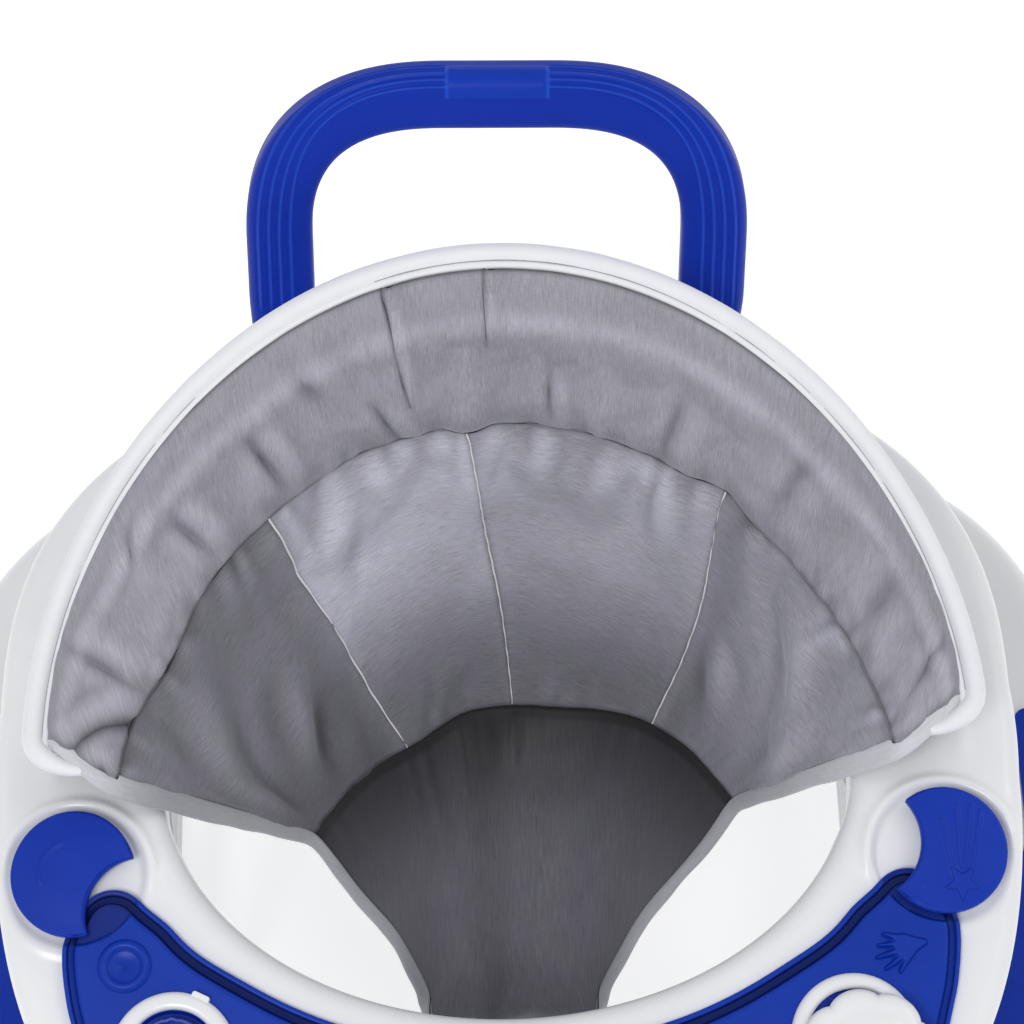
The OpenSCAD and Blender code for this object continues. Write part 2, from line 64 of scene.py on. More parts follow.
TRAY_Z, TRAY_BOTTOM = 402.0, 372.0
SLOPE_Y, SLOPE = -45.0, math.radians(12)
FOLD = 12.0                      # half the length of the smooth fold in the tray
HOLE_Y = -20.0
CONSOLE_Z = TRAY_Z + 4.5
DISC_X, DISC_Y, DISC_R, DISC_WELL = 209.0, -70.0, 30.0, 33.3
DISC_Z0, DISC_Z1 = CONSOLE_Z + 0.5, CONSOLE_Z + 5.5
TOY_X, TOY_Y = 161.0, -157.0
BEZEL_R, BEZEL_IN, BEZEL_H = 30.0, 21.3, 6.5
BALL_R, BALL_UP = 18.0, 3.2
FLOWER_X, FLOWER_Y, FLOWER_R = 166.0, -169.0, 33.5
BOX_Y, BOX_W, BOX_L = -213.0, 116.0, 58.0
BOX_Z0, BOX_Z1 = CONSOLE_Z + 0.1, TRAY_Z + 26.0
BUTTON_PITCH, BUTTON_Y, BUTTON_R = 34.0, BOX_Y - 4.0, 9.0
HANDLE_Y, HANDLE_Z, LEAN = 195.0, 450.0, math.radians(61.8)
LEG_X, LEG_BOTTOM, SOCKET_TOP, BAR_TOP = 104.0, -47.0, -18.0, 136.0
BAR_W, BAR_T, BAR_R = 32.5, 24.0, 8.0
RIM_A, RIM_B, SEAT_Y = 230.0, 209.0, -15.0
RIM_LEFT, RIM_RIGHT = math.radians(-90.0), math.radians(87.0)
BITE_R, BITE_D, BITE_TURN = 28.0, 39.5, {"left": math.radians(-31), "right": math.radians(171)}
SEAT_O = np.array([0.0, 20.0, 420.0])
CASTERS = {"front_left": (-246, -254), "front_right": (246, -254), "middle_left": (-276, 0),
           "middle_right": (276, 0), "rear_left": (-246, 254), "rear_right": (246, 254)}

# ---------------------------------------------------------------- small maths


def smooth(x, a, b):
    """0 at a, 1 at b, with an easy start and end."""
    t = np.clip((np.asarray(x, float) - a) / (b - a), 0, 1)
    return t * t * (3 - 2 * t)


def bell(x, width):
    return np.exp(-(np.asarray(x, float) / width) ** 2)


def bend(p):
    """Folds flat points along the tray's fold line: flat behind it, sloping ahead of it."""
    p = np.array(p, float)
    dy, dz = p[..., 1] - SLOPE_Y, p[..., 2] - TRAY_Z
    radius = FOLD / math.tan(SLOPE / 2)
    ang = np.clip((FOLD - dy) / (2 * FOLD), 0, 1) * SLOPE
    over = np.maximum(-FOLD - dy, 0)
    back = np.maximum(dy - FOLD, 0)
    y = FOLD - radius * np.sin(ang) + back - over * math.cos(SLOPE) - dz * np.sin(ang)
    z = -radius * (1 - np.cos(ang)) - over * math.sin(SLOPE) + dz * np.cos(ang)
    return np.stack([p[..., 0], SLOPE_Y + y, TRAY_Z + z], -1)


def on_handle(p):
    p = np.array(p, float)
    c, s = math.cos(LEAN), math.sin(LEAN)
    return np.stack([p[..., 0], HANDLE_Y + p[..., 1] * c - p[..., 2] * s,
                     HANDLE_Z + p[..., 1] * s + p[..., 2] * c], -1)


def power(c, e):
    return np.sign(c) * np.abs(c) ** e


def polar(points, centre):
    """Radius of a star-shaped closed outline about centre, as a function of the angle."""
    d = np.asarray(points, float) - centre
    a, r = np.arctan2(d[:, 1], d[:, 0]), np.hypot(d[:, 0], d[:, 1])
    order = np.argsort(a)
    a, r = a[order], r[order]
    return lambda phi: np.interp(phi, a, r, period=2 * math.pi)


def rrect_pts(w, l, r, n=12, centre=(0, 0)):
    """Rounded rectangle, anticlockwise, with n steps on each corner and on each side."""
    out = []
    corners = [(w / 2 - r, l / 2 - r), (-w / 2 + r, l / 2 - r), (-w / 2 + r, -l / 2 + r),
               (w / 2 - r, -l / 2 + r)]
    for k, (cx, cy) in enumerate(corners):
        for i in range(n + 1):
            a = math.pi / 2 * (k + i / n)
            out.append((cx + r * math.cos(a), cy + r * math.sin(a)))
        nx, ny = corners[(k + 1) % 4]
        a = math.pi / 2 * (k + 1)
        p0 = np.array([cx + r * math.cos(a), cy + r * math.sin(a)])
        p1 = np.array([nx + r * math.cos(a), ny + r * math.sin(a)])
        out += [tuple(p0 + (p1 - p0) * i / n) for i in range(1, n)]
    return np.array(out) + centre


def fractal(points, scale, seed):
    """Smooth noise at each point, about -1 to 1, with scale in features per mm."""
    shift = Vector((seed * 7.31, seed * 3.17, seed * 5.53))
    return np.array([noise.noise(Vector(p) * scale + shift) for p in np.reshape(points, (-1, 3))]).reshape(
        np.shape(points)[:-1])


# ---------------------------------------------------------------- meshes


def grid_faces(rows, cols, wrap_rows=False, wrap_cols=False):
    i = np.arange(rows if wrap_rows else rows - 1)[:, None]
    j = np.arange(cols if wrap_cols else cols - 1)[None, :]
    i2, j2 = (i + 1) % rows, (j + 1) % cols
    return np.stack([i * cols + j, i * cols + j2, i2 * cols + j2, i2 * cols + j], -1).reshape(-1, 4).tolist()


def make(name, verts, faces, body, material, smooth_faces=True, sharp=None, close=False,
         attrs=None):
    """Mesh object from points in mm, riding on a body. close turns its normals outward."""
    me = bpy.data.meshes.new(name)
    me.from_pydata((np.asarray(verts, float).reshape(-1, 3) * MM).tolist(), [], faces)
    me.validate()
    for key, values in (attrs or {}).items():
        me.attributes.new(key, "FLOAT", "POINT").data.foreach_set("value",
                                                                  np.asarray(values, np.float32).ravel())
    if close:
        bm = bmesh.new()
        bm.from_mesh(me)
        bmesh.ops.remove_doubles(bm, verts=bm.verts, dist=1e-6)
        bmesh.ops.recalc_face_normals(bm, faces=bm.faces)
        bm.to_mesh(me)
        bm.free()
    me.polygons.foreach_set("use_smooth", [smooth_faces] * len(me.polygons))
    if sharp:
        me.set_sharp_from_angle(angle=math.radians(sharp))
    ob = bpy.data.objects.new(name, me)
    bpy.context.scene.collection.objects.link(ob)
    me.materials.append(material)
    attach(ob, body)
    return ob


def rings_mesh(name, rings, body, material, caps=True, loop=False, sharp=None, attrs=None):
    """Closed surface through rings of points; loop joins the last ring to the first."""
    rings = np.asarray(rings, float)
    rows, cols = rings.shape[:2]
    faces = grid_faces(rows, cols, wrap_rows=loop, wrap_cols=True)
    if caps and not loop:
        faces += [list(range(cols)), [(rows - 1) * cols + i for i in range(cols)][::-1]]
    return make(name, rings, faces, body, material, sharp=sharp, close=True, attrs=attrs)


def turned(name, profile, body, material, place=lambda p: p, centre=(0, 0), n=96, sharp=None):
    """Solid of revolution about Z from (radius, z) points, closed at the axis where radius is 0."""
    a = np.linspace(0, 2 * math.pi, n, endpoint=False)
    rings = [np.stack([centre[0] + r * np.cos(a), centre[1] + r * np.sin(a), np.full(n, z)], -1)
             for r, z in profile]
    loop = profile[0][0] > 0.01 and profile[-1][0] > 0.01
    return rings_mesh(name, place(np.array(rings)), body, material, caps=not loop, loop=loop,
                      sharp=sharp)


def round_profile(x0, z0, x1, z1, n=6):
    """Quarter turn from (x0, z0) to (x1, z1), leaving the first point along Z."""
    t = np.linspace(0, math.pi / 2, n + 1)
    return [(x1 + (x0 - x1) * math.cos(v), z0 + (z1 - z0) * math.sin(v)) for v in t]


def slab_rings(outline_at, z0, z1, edge=1.2, n=5):
    """Rings of a plate with rounded upper and lower edges; outline_at(inset) gives its outline."""
    rings = []
    t = np.linspace(0, math.pi / 2, n + 1)
    for v in t[::-1]:
        rings.append((edge * (1 - math.cos(v)), z0 + edge * (1 - math.sin(v))))
    for v in t:
        rings.append((edge * (1 - math.cos(v)), z1 - edge * (1 - math.sin(v))))
    return np.array([np.column_stack([outline_at(d), np.full(len(outline_at(d)), z)]) for d, z in rings])


def offset_loop(loop, d):
    """Anticlockwise closed outline moved inward by d along its normals."""
    loop = np.asarray(loop, float)
    t = np.roll(loop, -1, 0) - np.roll(loop, 1, 0)
    t /= np.maximum(np.hypot(t[:, 0], t[:, 1]), 1e-9)[:, None]
    return loop + d * np.stack([-t[:, 1], t[:, 0]], -1)


def resample(loop, n):
    loop = np.asarray(loop, float)
    closed = np.vstack([loop, loop[:1]])
    s = np.concatenate([[0], np.cumsum(np.hypot(*np.diff(closed, axis=0).T))])
    at = np.linspace(0, s[-1], n, endpoint=False)
    return np.stack([np.interp(at, s, closed[:, k]) for k in (0, 1)], -1)


def soften(node, width=1.0, segments=3, angle=30, material=None, body=None):
    """Copy of a CAD node with its hard edges rounded, standing for the node."""
    src = NODES[node]
    me = src.data.copy()
    me.materials.clear()
    bm = bmesh.new()
    bm.from_mesh(me)
    bmesh.ops.remove_doubles(bm, verts=bm.verts, dist=2e-6)
    bmesh.ops.dissolve_limit(bm, angle_limit=math.radians(0.6), verts=bm.verts, edges=bm.edges)
    edges = [e for e in bm.edges if len(e.link_faces) == 2 and e.calc_face_angle(0) > math.radians(angle)]
    bmesh.ops.bevel(bm, geom=edges, offset=width * MM, offset_type="OFFSET", segments=segments, profile=0.5,
                    affect="EDGES", clamp_overlap=True)
    bmesh.ops.recalc_face_normals(bm, faces=bm.faces)
    bm.to_mesh(me)
    bm.free()
    me.polygons.foreach_set("use_smooth", [True] * len(me.polygons))
    me.set_sharp_from_angle(angle=math.radians(50))
    ob = bpy.data.objects.new(node + "_soft", me)
    bpy.context.scene.collection.objects.link(ob)
    me.materials.append(material)
    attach(ob, src["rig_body"])
    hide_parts(node)
    return ob


def tube(name, path, radius, body, material, sides=8, loop=False, flat=1.0):
    """Round cord of one or more radii along a path in mm."""
    path = np.asarray(path, float)
    n = len(path)
    tan = (np.roll(path, -1, 0) - np.roll(path, 1, 0)) if loop else np.gradient(path, axis=0)
    tan /= np.linalg.norm(tan, axis=1)[:, None]
    up = np.array([0.0, 0.0, 1.0]) if abs(tan[0][2]) < 0.9 else np.array([0.0, 1.0, 0.0])
    rings, side = [], np.cross(tan[0], up)
    a = np.linspace(0, 2 * math.pi, sides, endpoint=False)
    radius = np.broadcast_to(radius, n)
    for p, t, r in zip(path, tan, radius):
        side = side - t * side.dot(t)
        side /= np.linalg.norm(side)
        other = np.cross(t, side)
        rings.append(p + r * (np.cos(a)[:, None] * side + flat * np.sin(a)[:, None] * other))
    return rings_mesh(name, rings, body, material, caps=not loop, loop=loop)


# ---------------------------------------------------------------- materials


class Shader:
    """A node tree built one node at a time."""

    def __init__(self, name, **sockets):
        self.mat = bpy.data.materials.new(name)
        self.mat.use_nodes = True
        self.tree = self.mat.node_tree
        self.tree.nodes.clear()
        self.out = self.node("ShaderNodeOutputMaterial")
        self.bsdf = self.node("ShaderNodeBsdfPrincipled")
        for key, value in sockets.items():
            self.bsdf.inputs[key.replace("_", " ")].default_value = value
        self.link(self.bsdf.outputs[0], self.out.inputs[0])
        self.coords = self.node("ShaderNodeTexCoord").outputs["Object"]

    def node(self, kind, **props):
        n = self.tree.nodes.new(kind)
        for k, v in props.items():
            setattr(n, k, v)
        return n

    def link(self, a, b):
        self.tree.links.new(a, b)

    def put(self, value, socket):
        if hasattr(value, "is_output"):
            self.link(value, socket)
        else:
            socket.default_value = value

    def noise(self, scale, detail=3.0, rough=0.55, coords=None, stretch=None):
        n = self.node("ShaderNodeTexNoise")
        n.inputs["Scale"].default_value = scale
        n.inputs["Detail"].default_value = detail
        n.inputs["Roughness"].default_value = rough
        source = self.coords if coords is None else coords
        if stretch:
            m = self.node("ShaderNodeMapping")
            m.inputs["Scale"].default_value = stretch
            self.link(source, m.inputs["Vector"])
            source = m.outputs[0]
        self.link(source, n.inputs["Vector"])
        return n.outputs["Fac"]

    def attribute(self, name, vector=False):
        n = self.node("ShaderNodeAttribute", attribute_name=name)
        return n.outputs["Vector" if vector else "Fac"]

    def ramp(self, value, lo, hi, to_lo=0.0, to_hi=1.0):
        n = self.node("ShaderNodeMapRange")
        self.link(value, n.inputs["Value"])
        for key, v in zip(("From Min", "From Max", "To Min", "To Max"), (lo, hi, to_lo, to_hi)):
            n.inputs[key].default_value = v
        return n.outputs[0]

    def math(self, op, a, b=0.0):
        n = self.node("ShaderNodeMath", operation=op)
        self.put(a, n.inputs[0])
        self.put(b, n.inputs[1])
        return n.outputs[0]

    def mix(self, factor, a, b):
        n = self.node("ShaderNodeMix", data_type="RGBA")
        self.put(factor, n.inputs["Factor"])
        colour = [s for s in n.inputs if s.type == "RGBA"]
        for value, socket in zip((a, b), colour):
            self.put((*value, 1.0) if isinstance(value, tuple) else value, socket)
        return next(s for s in n.outputs if s.type == "RGBA")

    def bump(self, height, strength, distance):
        n = self.node("ShaderNodeBump")
        n.inputs["Strength"].default_value = strength
        n.inputs["Distance"].default_value = distance
        self.link(height, n.inputs["Height"])
        self.link(n.outputs[0], self.bsdf.inputs["Normal"])

    def colour(self, value):
        self.link(value, self.bsdf.inputs["Base Color"])

    def roughness(self, value):
        self.link(value, self.bsdf.inputs["Roughness"])


def plastic(name, dark, light, rough, grain=2200.0, depth=0.00004, painted_light=None, specular=0.5, coat=0.0):
    """Moulded plastic: slight flow mottling, fine mould grain, paler worn edges and faint scuffs."""
    s = Shader(name, IOR=1.46, Specular_IOR_Level=specular, Coat_Weight=coat, Coat_Roughness=0.08)
    flow = s.ramp(s.noise(14.0, 4.0), 0.3, 0.7)
    fine = s.noise(grain, 2.0)
    edge = s.node("ShaderNodeNewGeometry").outputs["Pointiness"]
    worn = s.ramp(edge, 0.52, 0.62, 0.0, 0.35)
    base = s.mix(flow, dark, light)
    # painted light: a point attribute mixes the colour towards a painted highlight or painted shade colour
    if painted_light:
        base = s.mix(s.attribute("painted_light"), base, painted_light)
    pale = tuple(min(1.0, c * 1.25 + 0.01) for c in light)
    s.colour(s.mix(worn, base, pale))
    scuff = s.ramp(s.noise(160.0, 6.0, 0.7, stretch=(1.0, 6.0, 1.0)), 0.62, 0.75, 0.0, 0.12)
    s.roughness(s.math("ADD", s.ramp(s.noise(60.0, 3.0), 0.3, 0.7, rough - 0.04, rough + 0.05), scuff))
    s.bump(fine, 0.35, depth)
    return s.mat


def cloth(name, dark, light, weave=2100.0, streak=(1.0, 0.075, 1.0), contrast=1.0, shade=None, tone_and_highlight=None,
          sheen=0.35):
    """Shot satin weave: long slub streaks of two greys, a fine crossing weave and soft mottling.

    It reads the point attribute "lay", the cloth's own flat coordinates in metres.
    """
    s = Shader(name, Sheen_Weight=sheen, Sheen_Roughness=0.45, Specular_IOR_Level=0.3)
    s.bsdf.inputs["Sheen Tint"].default_value = (0.92, 0.92, 1.0, 1.0)
    lay = s.attribute("lay", vector=True)
    slub = s.noise(weave, 3.0, 0.65, coords=lay, stretch=streak)
    slub2 = s.noise(weave * 0.55, 2.0, 0.5, coords=lay, stretch=(1.0, 0.05, 1.0))
    cross = s.noise(weave * 1.3, 1.0, 0.5, coords=lay, stretch=(0.12, 1.0, 1.0))
    thread = s.math("ADD", s.math("MULTIPLY", slub, 0.7), s.math("MULTIPLY", slub2, 0.3))
    grain = s.noise(weave * 2.2, 2.0, 0.6, coords=lay)
    cross = s.math("ADD", s.math("MULTIPLY", cross, 0.45), s.math("MULTIPLY", grain, 0.55))
    thread = s.math("ADD", s.math("MULTIPLY", thread, 0.66), s.math("MULTIPLY", cross, 0.34))
    half = 0.16 / contrast
    fac = s.ramp(thread, 0.5 - half, 0.5 + half)
    mottle = s.ramp(s.noise(38.0, 4.0, 0.6, coords=lay), 0.3, 0.7)
    base = s.mix(fac, dark, light)
    tint = tuple(c * k for c, k in zip(light, (0.86, 0.85, 0.98)))
    base = s.mix(s.math("MULTIPLY", mottle, 0.35), base, tint)
    # painted highlight, and on the binding also its paler colour by the corner: a point attribute scales the
    # colour up to the given factor
    if tone_and_highlight:
        lift = s.node("ShaderNodeVectorMath", operation="SCALE")
        s.link(base, lift.inputs[0])
        s.link(s.ramp(s.attribute("tone_and_highlight"), 0.0, 1.0, 1.0, tone_and_highlight), lift.inputs["Scale"])
        base = lift.outputs[0]
    # painted shade: a point attribute mixes the colour towards the shade colour
    if shade:
        base = s.mix(s.attribute("painted_light"), base, shade)
    s.colour(base)
    s.roughness(s.ramp(thread, 0.3, 0.7, 0.62, 0.42))
    s.bump(thread, 0.5, 0.00014)
    return s.mat


WHITE = plastic("white_gloss_plastic", (0.80, 0.81, 0.835), (0.84, 0.85, 0.87), 0.20, grain=1500.0,
                depth=0.00001, specular=0.45)
BLUE = plastic("blue_satin_plastic", (0.0048, 0.031, 0.355), (0.0066, 0.040, 0.415), 0.38, specular=0.18)
# painted highlight: the grip's ribs and the plaque's border are mixed towards this paler blue
BLUE_GRIP = plastic("blue_grip_plastic", (0.0018, 0.024, 0.33), (0.0028, 0.030, 0.385), 0.40,
                    painted_light=(0.018, 0.09, 0.62), specular=0.15)
# painted shade: the console's edge channel and the disc wells are mixed towards this near-black navy
BLUE_PANEL = plastic("blue_panel_plastic", (0.0022, 0.031, 0.33), (0.0038, 0.039, 0.39), 0.34,
                     painted_light=(0.001, 0.009, 0.10), specular=0.22)
BLUE_GLOSS = plastic("blue_gloss_plastic", (0.003, 0.026, 0.34), (0.005, 0.034, 0.41), 0.16, grain=900.0,
                     depth=0.00001, specular=0.45)
FRAME_W = plastic("frame_matt_plastic", (0.66, 0.67, 0.695), (0.71, 0.72, 0.745), 0.45, specular=0.4)
RUBBER = plastic("black_rubber", (0.012, 0.012, 0.013), (0.02, 0.02, 0.022), 0.75, grain=1800.0,
                 depth=0.00008, specular=0.25)
TYRE = plastic("grey_wheel_rubber", (0.035, 0.037, 0.042), (0.05, 0.052, 0.058), 0.62, grain=1600.0,
               depth=0.00006, specular=0.3)
SLING = cloth("grey_ribbed_seat_cloth", (0.065, 0.065, 0.076), (0.185, 0.182, 0.210), streak=(1.0, 0.04, 1.0),
              shade=(0.012, 0.012, 0.014))
TAPE = cloth("white_satin_tape", (0.79, 0.80, 0.82), (0.87, 0.875, 0.89), weave=2600.0, contrast=0.35,
             sheen=0.5)
BINDING = cloth("grey_satin_binding", (0.225, 0.230, 0.242), (0.38, 0.386, 0.402), weave=2200.0,
                contrast=0.6, sheen=0.6, tone_and_highlight=1.95)
THREAD = cloth("white_thread", (0.62, 0.62, 0.63), (0.88, 0.88, 0.88), weave=5000.0)
# painted shadow: near-black cord material laid along seams and edges where shade falls
SEAM_SHADOW = cloth("painted_seam_shadow", (0.008, 0.008, 0.010), (0.026, 0.026, 0.030), weave=4000.0, sheen=0.0)


def steel():
    s = Shader("zinc_plated_steel", Metallic=1.0)
    grain = s.noise(900.0, 3.0, stretch=(0.06, 1.0, 1.0))
    s.colour(s.mix(grain, (0.50, 0.50, 0.52), (0.68, 0.68, 0.70)))
    s.roughness(s.ramp(grain, 0.3, 0.7, 0.28, 0.42))
    s.bump(grain, 0.3, 0.00003)
    return s.mat


STEEL = steel()


def floor_material():
    s = Shader("pale_floor", Roughness=0.9, Specular_IOR_Level=0.1, Emission_Strength=0.39)
    s.bsdf.inputs["Emission Color"].default_value = (1.0, 1.0, 1.0, 1.0)
    s.colour(s.mix(s.noise(3.0), (0.90, 0.90, 0.905), (0.92, 0.92, 0.92)))
    return s.mat


def set_attribute(ob, name, values, kind="FLOAT"):
    a = ob.data.attributes.new(name, kind, "POINT")
    key = "vector" if kind == "FLOAT_VECTOR" else "value"
    a.data.foreach_set(key, np.asarray(values, np.float32).ravel())


def set_lay(ob, u_mm, v_mm):
    """Flat coordinates of the cloth, in metres: u runs across the streaks and v along them."""
    flat = np.stack([np.ravel(u_mm), np.ravel(v_mm), np.zeros(np.size(u_mm))], -1) * MM
    set_attribute(ob, "lay", flat, "FLOAT_VECTOR")


# ---------------------------------------------------------------- tray

def tray_outline(d=0.0):
    front = np.linspace(math.pi, 2 * math.pi, 400)
    rear = np.linspace(0, math.pi, 400)
    a = np.stack([(250 - d) * power(np.cos(front), 0.84), -30 + (243 - d) * power(np.sin(front), 0.84)], -1)
    b = np.stack([(250 - d) * power(np.cos(rear), 0.8), 20 + (195 - d) * power(np.sin(rear), 0.8)], -1)
    return np.vstack([a, b])


def hole_outline():
    t = np.linspace(0, 2 * math.pi, 720, endpoint=False)
    return np.stack([168 * np.cos(t), HOLE_Y + np.where(np.sin(t) < 0, 122, 168) * np.sin(t)], -1)


def build_tray():
    centre = (0.0, HOLE_Y)
    r_out, r_in = polar(tray_outline(), centre), polar(hole_outline(), centre)
    phi = np.linspace(-math.pi, math.pi, 840, endpoint=False)
    out, inn = r_out(phi), r_in(phi)
    stations = [("o", 0.0, TRAY_BOTTOM), ("o", 0.0, TRAY_BOTTOM + 8), ("o", 0.0, TRAY_Z - 9)]
    stations += [("o", x, z) for x, z in round_profile(0.0, TRAY_Z - 9, 10.0, TRAY_Z, 10)[1:]]
    flat = len(stations)
    stations += [("m", k / 46, TRAY_Z) for k in range(1, 46)]
    lip = round_profile(0.0, TRAY_Z - 13, 15.0, TRAY_Z, 14)[::-1]
    stations += [("i", x, z) for x, z in lip]
    stations += [("i", 0.0, TRAY_Z - 20), ("i", 0.0, TRAY_BOTTOM), ("i", 3.0, TRAY_BOTTOM),
                 ("i", 3.0, TRAY_Z - 16), ("i", 16.0, TRAY_Z - 4), ("o", 14.0, TRAY_Z - 4),
                 ("o", 3.0, TRAY_Z - 10), ("o", 3.0, TRAY_BOTTOM)]
    rings = []
    for kind, d, z in stations:
        if kind == "o":
            r = out - d
        elif kind == "i":
            r = inn + d
        else:
            r = (out - 10) + ((inn + 15) - (out - 10)) * d
        rings.append(np.stack([centre[0] + r * np.cos(phi), centre[1] + r * np.sin(phi),
                               np.full(len(phi), z)], -1))
    rings = np.array(rings)
    top = rings[:flat + 60]
    upper = smooth(top[..., 2], TRAY_Z - 9, TRAY_Z)
    for s in (-1, 1):
        r = np.hypot(top[..., 0] - s * DISC_X, top[..., 1] - DISC_Y)
        ring = 0.9 + 1.7 * smooth(top[..., 1], -84, -68)
        top[..., 2] += upper * (ring * bell(r - 36.8, 3.0) - 1.3 * smooth(-r, -33.8, -31.8))
    # a low step where the flat rear deck meets the seat ring
    rr = np.hypot(top[..., 0] / 222, (top[..., 1] - SEAT_Y) / 181)
    top[..., 2] += upper * 1.4 * bell((rr - 1.0) * 200, 5.0) * smooth(top[..., 1], -28, -12)
    ob = rings_mesh("tray_shell", bend(rings), "tray", WHITE, loop=True, sharp=55)
    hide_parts("tray_top")
    for s in (-1, 1):
        turned(f"disc_post_{'left' if s < 0 else 'right'}",
               [(0, TRAY_Z - 1.4), (6.4, TRAY_Z - 1.4), (7.0, TRAY_Z - 0.6), (7.0, DISC_Z0 - 0.9),
                (6.4, DISC_Z0 - 0.4), (4.0, DISC_Z0 - 0.4), (4.0, DISC_Z0 + 2.6), (3.6, DISC_Z0 + 3.0),
                (0, DISC_Z0 + 3.0)], "tray", WHITE, place=bend,
               centre=(s * DISC_X, DISC_Y), n=48)
        socket = []
        outer = rrect_pts(BAR_W + 8, BAR_T + 8, 8)
        inner = rrect_pts(BAR_W + 0.8, BAR_T + 0.8, 8.2)
        for y, grow in ((-62, 6.0), (-54, 2.2), (-48, 0.6), (-40, 0.0), (SOCKET_TOP - 1.6, 0.0),
                        (SOCKET_TOP - 0.5, -0.5), (SOCKET_TOP, -1.5)):
            p = offset_loop(outer, -grow)
            socket.append(np.stack([s * LEG_X + p[:, 0], np.full(len(p), y), p[:, 1]], -1))
        for y, grow in ((SOCKET_TOP - 0.4, 0.4), (SOCKET_TOP - 2, 0.0), (-46, 0.0)):
            p = offset_loop(inner, -grow)
            socket.append(np.stack([s * LEG_X + p[:, 0], np.full(len(p), y), p[:, 1]], -1))
        rings_mesh(f"handle_socket_{'left' if s < 0 else 'right'}", on_handle(socket), "tray", WHITE,
                   loop=False, sharp=50)


# ---------------------------------------------------------------- console

def console_outline():
    """Crescent with a round lobe at each end, symmetric about x = 0, anticlockwise from the right lobe."""
    def inner(x):
        return (HOLE_Y - 138 * np.sqrt(np.maximum(1 - (x / 190) ** 2, 0)) - 4.5 * bell(x - 158, 20)
                - 4.5 * bell(x + 158, 20))
    t = np.linspace(math.radians(148), math.radians(8), 26)
    lobe = np.stack([190.5 + 17.8 * np.cos(t), -94.5 + 17.8 * np.sin(t)], -1)
    x = np.linspace(4, 163, 60)
    edge = np.stack([x, inner(x)], -1)
    t = np.linspace(math.radians(-30), math.radians(-90), 60)[:-1]
    front = np.stack([247 * np.cos(t), -30 + 230 * np.sin(t)], -1)
    front = front[front[:, 0] < 207]
    side = np.array([[212.0, -96.5], [214.6, -103.0], [214.6, -112.0], [213.6, -122.0], [211.6, -134.0]])
    right = np.vstack([edge, lobe, side, front])
    left = right[::-1] * [-1, 1]
    loop = resample(np.vstack([right, left])[::-1], 1500)
    k = np.hanning(23)
    k /= k.sum()
    wrapped = np.vstack([loop[-40:], loop, loop[:40]])
    soft = np.stack([np.convolve(wrapped[:, i], k, "same") for i in (0, 1)], -1)[40:-40]
    return resample(soft, 1100)


def console_relief(p):
    """Depth of the lock discs' recesses in the console's panel."""
    return sum(-1.5 * (1 - smooth(np.hypot(p[..., 0] - k * DISC_X, p[..., 1] - DISC_Y), DISC_WELL - 0.5,
                                  DISC_WELL + 0.5)) for k in (-1, 1))


def build_reliefs():
    """An embossed ring and an embossed open hand on the console's panel."""
    top = CONSOLE_Z + 0.4
    profile = [(0, -0.3), (0.1, 0.10), (6.6, 0.10), (7.4, 0.35), (8.1, 1.1), (9.0, 2.0), (10.0, 2.4),
               (11.0, 2.1), (12.0, 1.2), (12.8, 0.3), (13.3, -0.4)]
    turned("console_ring_relief", [(r, top + z) for r, z in profile], "tray", BLUE_PANEL,
           place=bend, centre=(-184.4, -113.9), n=96)
    x, y = np.meshgrid(np.linspace(169.5, 200.5, 156), np.linspace(-130.5, -105.5, 126))

    def stroke(ax, ay, bx, by, ra, rb):
        t = np.clip(((x - ax) * (bx - ax) + (y - ay) * (by - ay)) / ((bx - ax) ** 2 + (by - ay) ** 2), 0, 1)
        return np.hypot(x - ax - t * (bx - ax), y - ay - t * (by - ay)) - (ra + (rb - ra) * t)

    near = 0.7
    parts = [stroke(187.6, -114.6, 196.2, -113.2, 6.2, 2.4), stroke(187.2, -111.8, 177.6, -108.9, 2.8, 1.5),
             stroke(186.0, -113.6, 175.0, -114.2, 2.4, 1.4), stroke(186.4, -116.6, 174.0, -119.8, 2.4, 1.4),
             stroke(187.4, -118.4, 178.0, -125.2, 2.4, 1.4), stroke(189.8, -118.0, 184.6, -126.6, 2.5, 1.5)]
    d = -near * np.log(sum(np.exp(-k / near) for k in parts))
    h = 3.3 * (1 - smooth(d, -1.7, 0.35)) - 0.5
    grid = np.stack([x, y, top + h], -1)
    keep = (d < 1.6).ravel()
    faces = [f for f in grid_faces(*x.shape) if all(keep[i] for i in f)]
    make("console_hand_relief", bend(grid), faces, "tray", BLUE_PANEL)


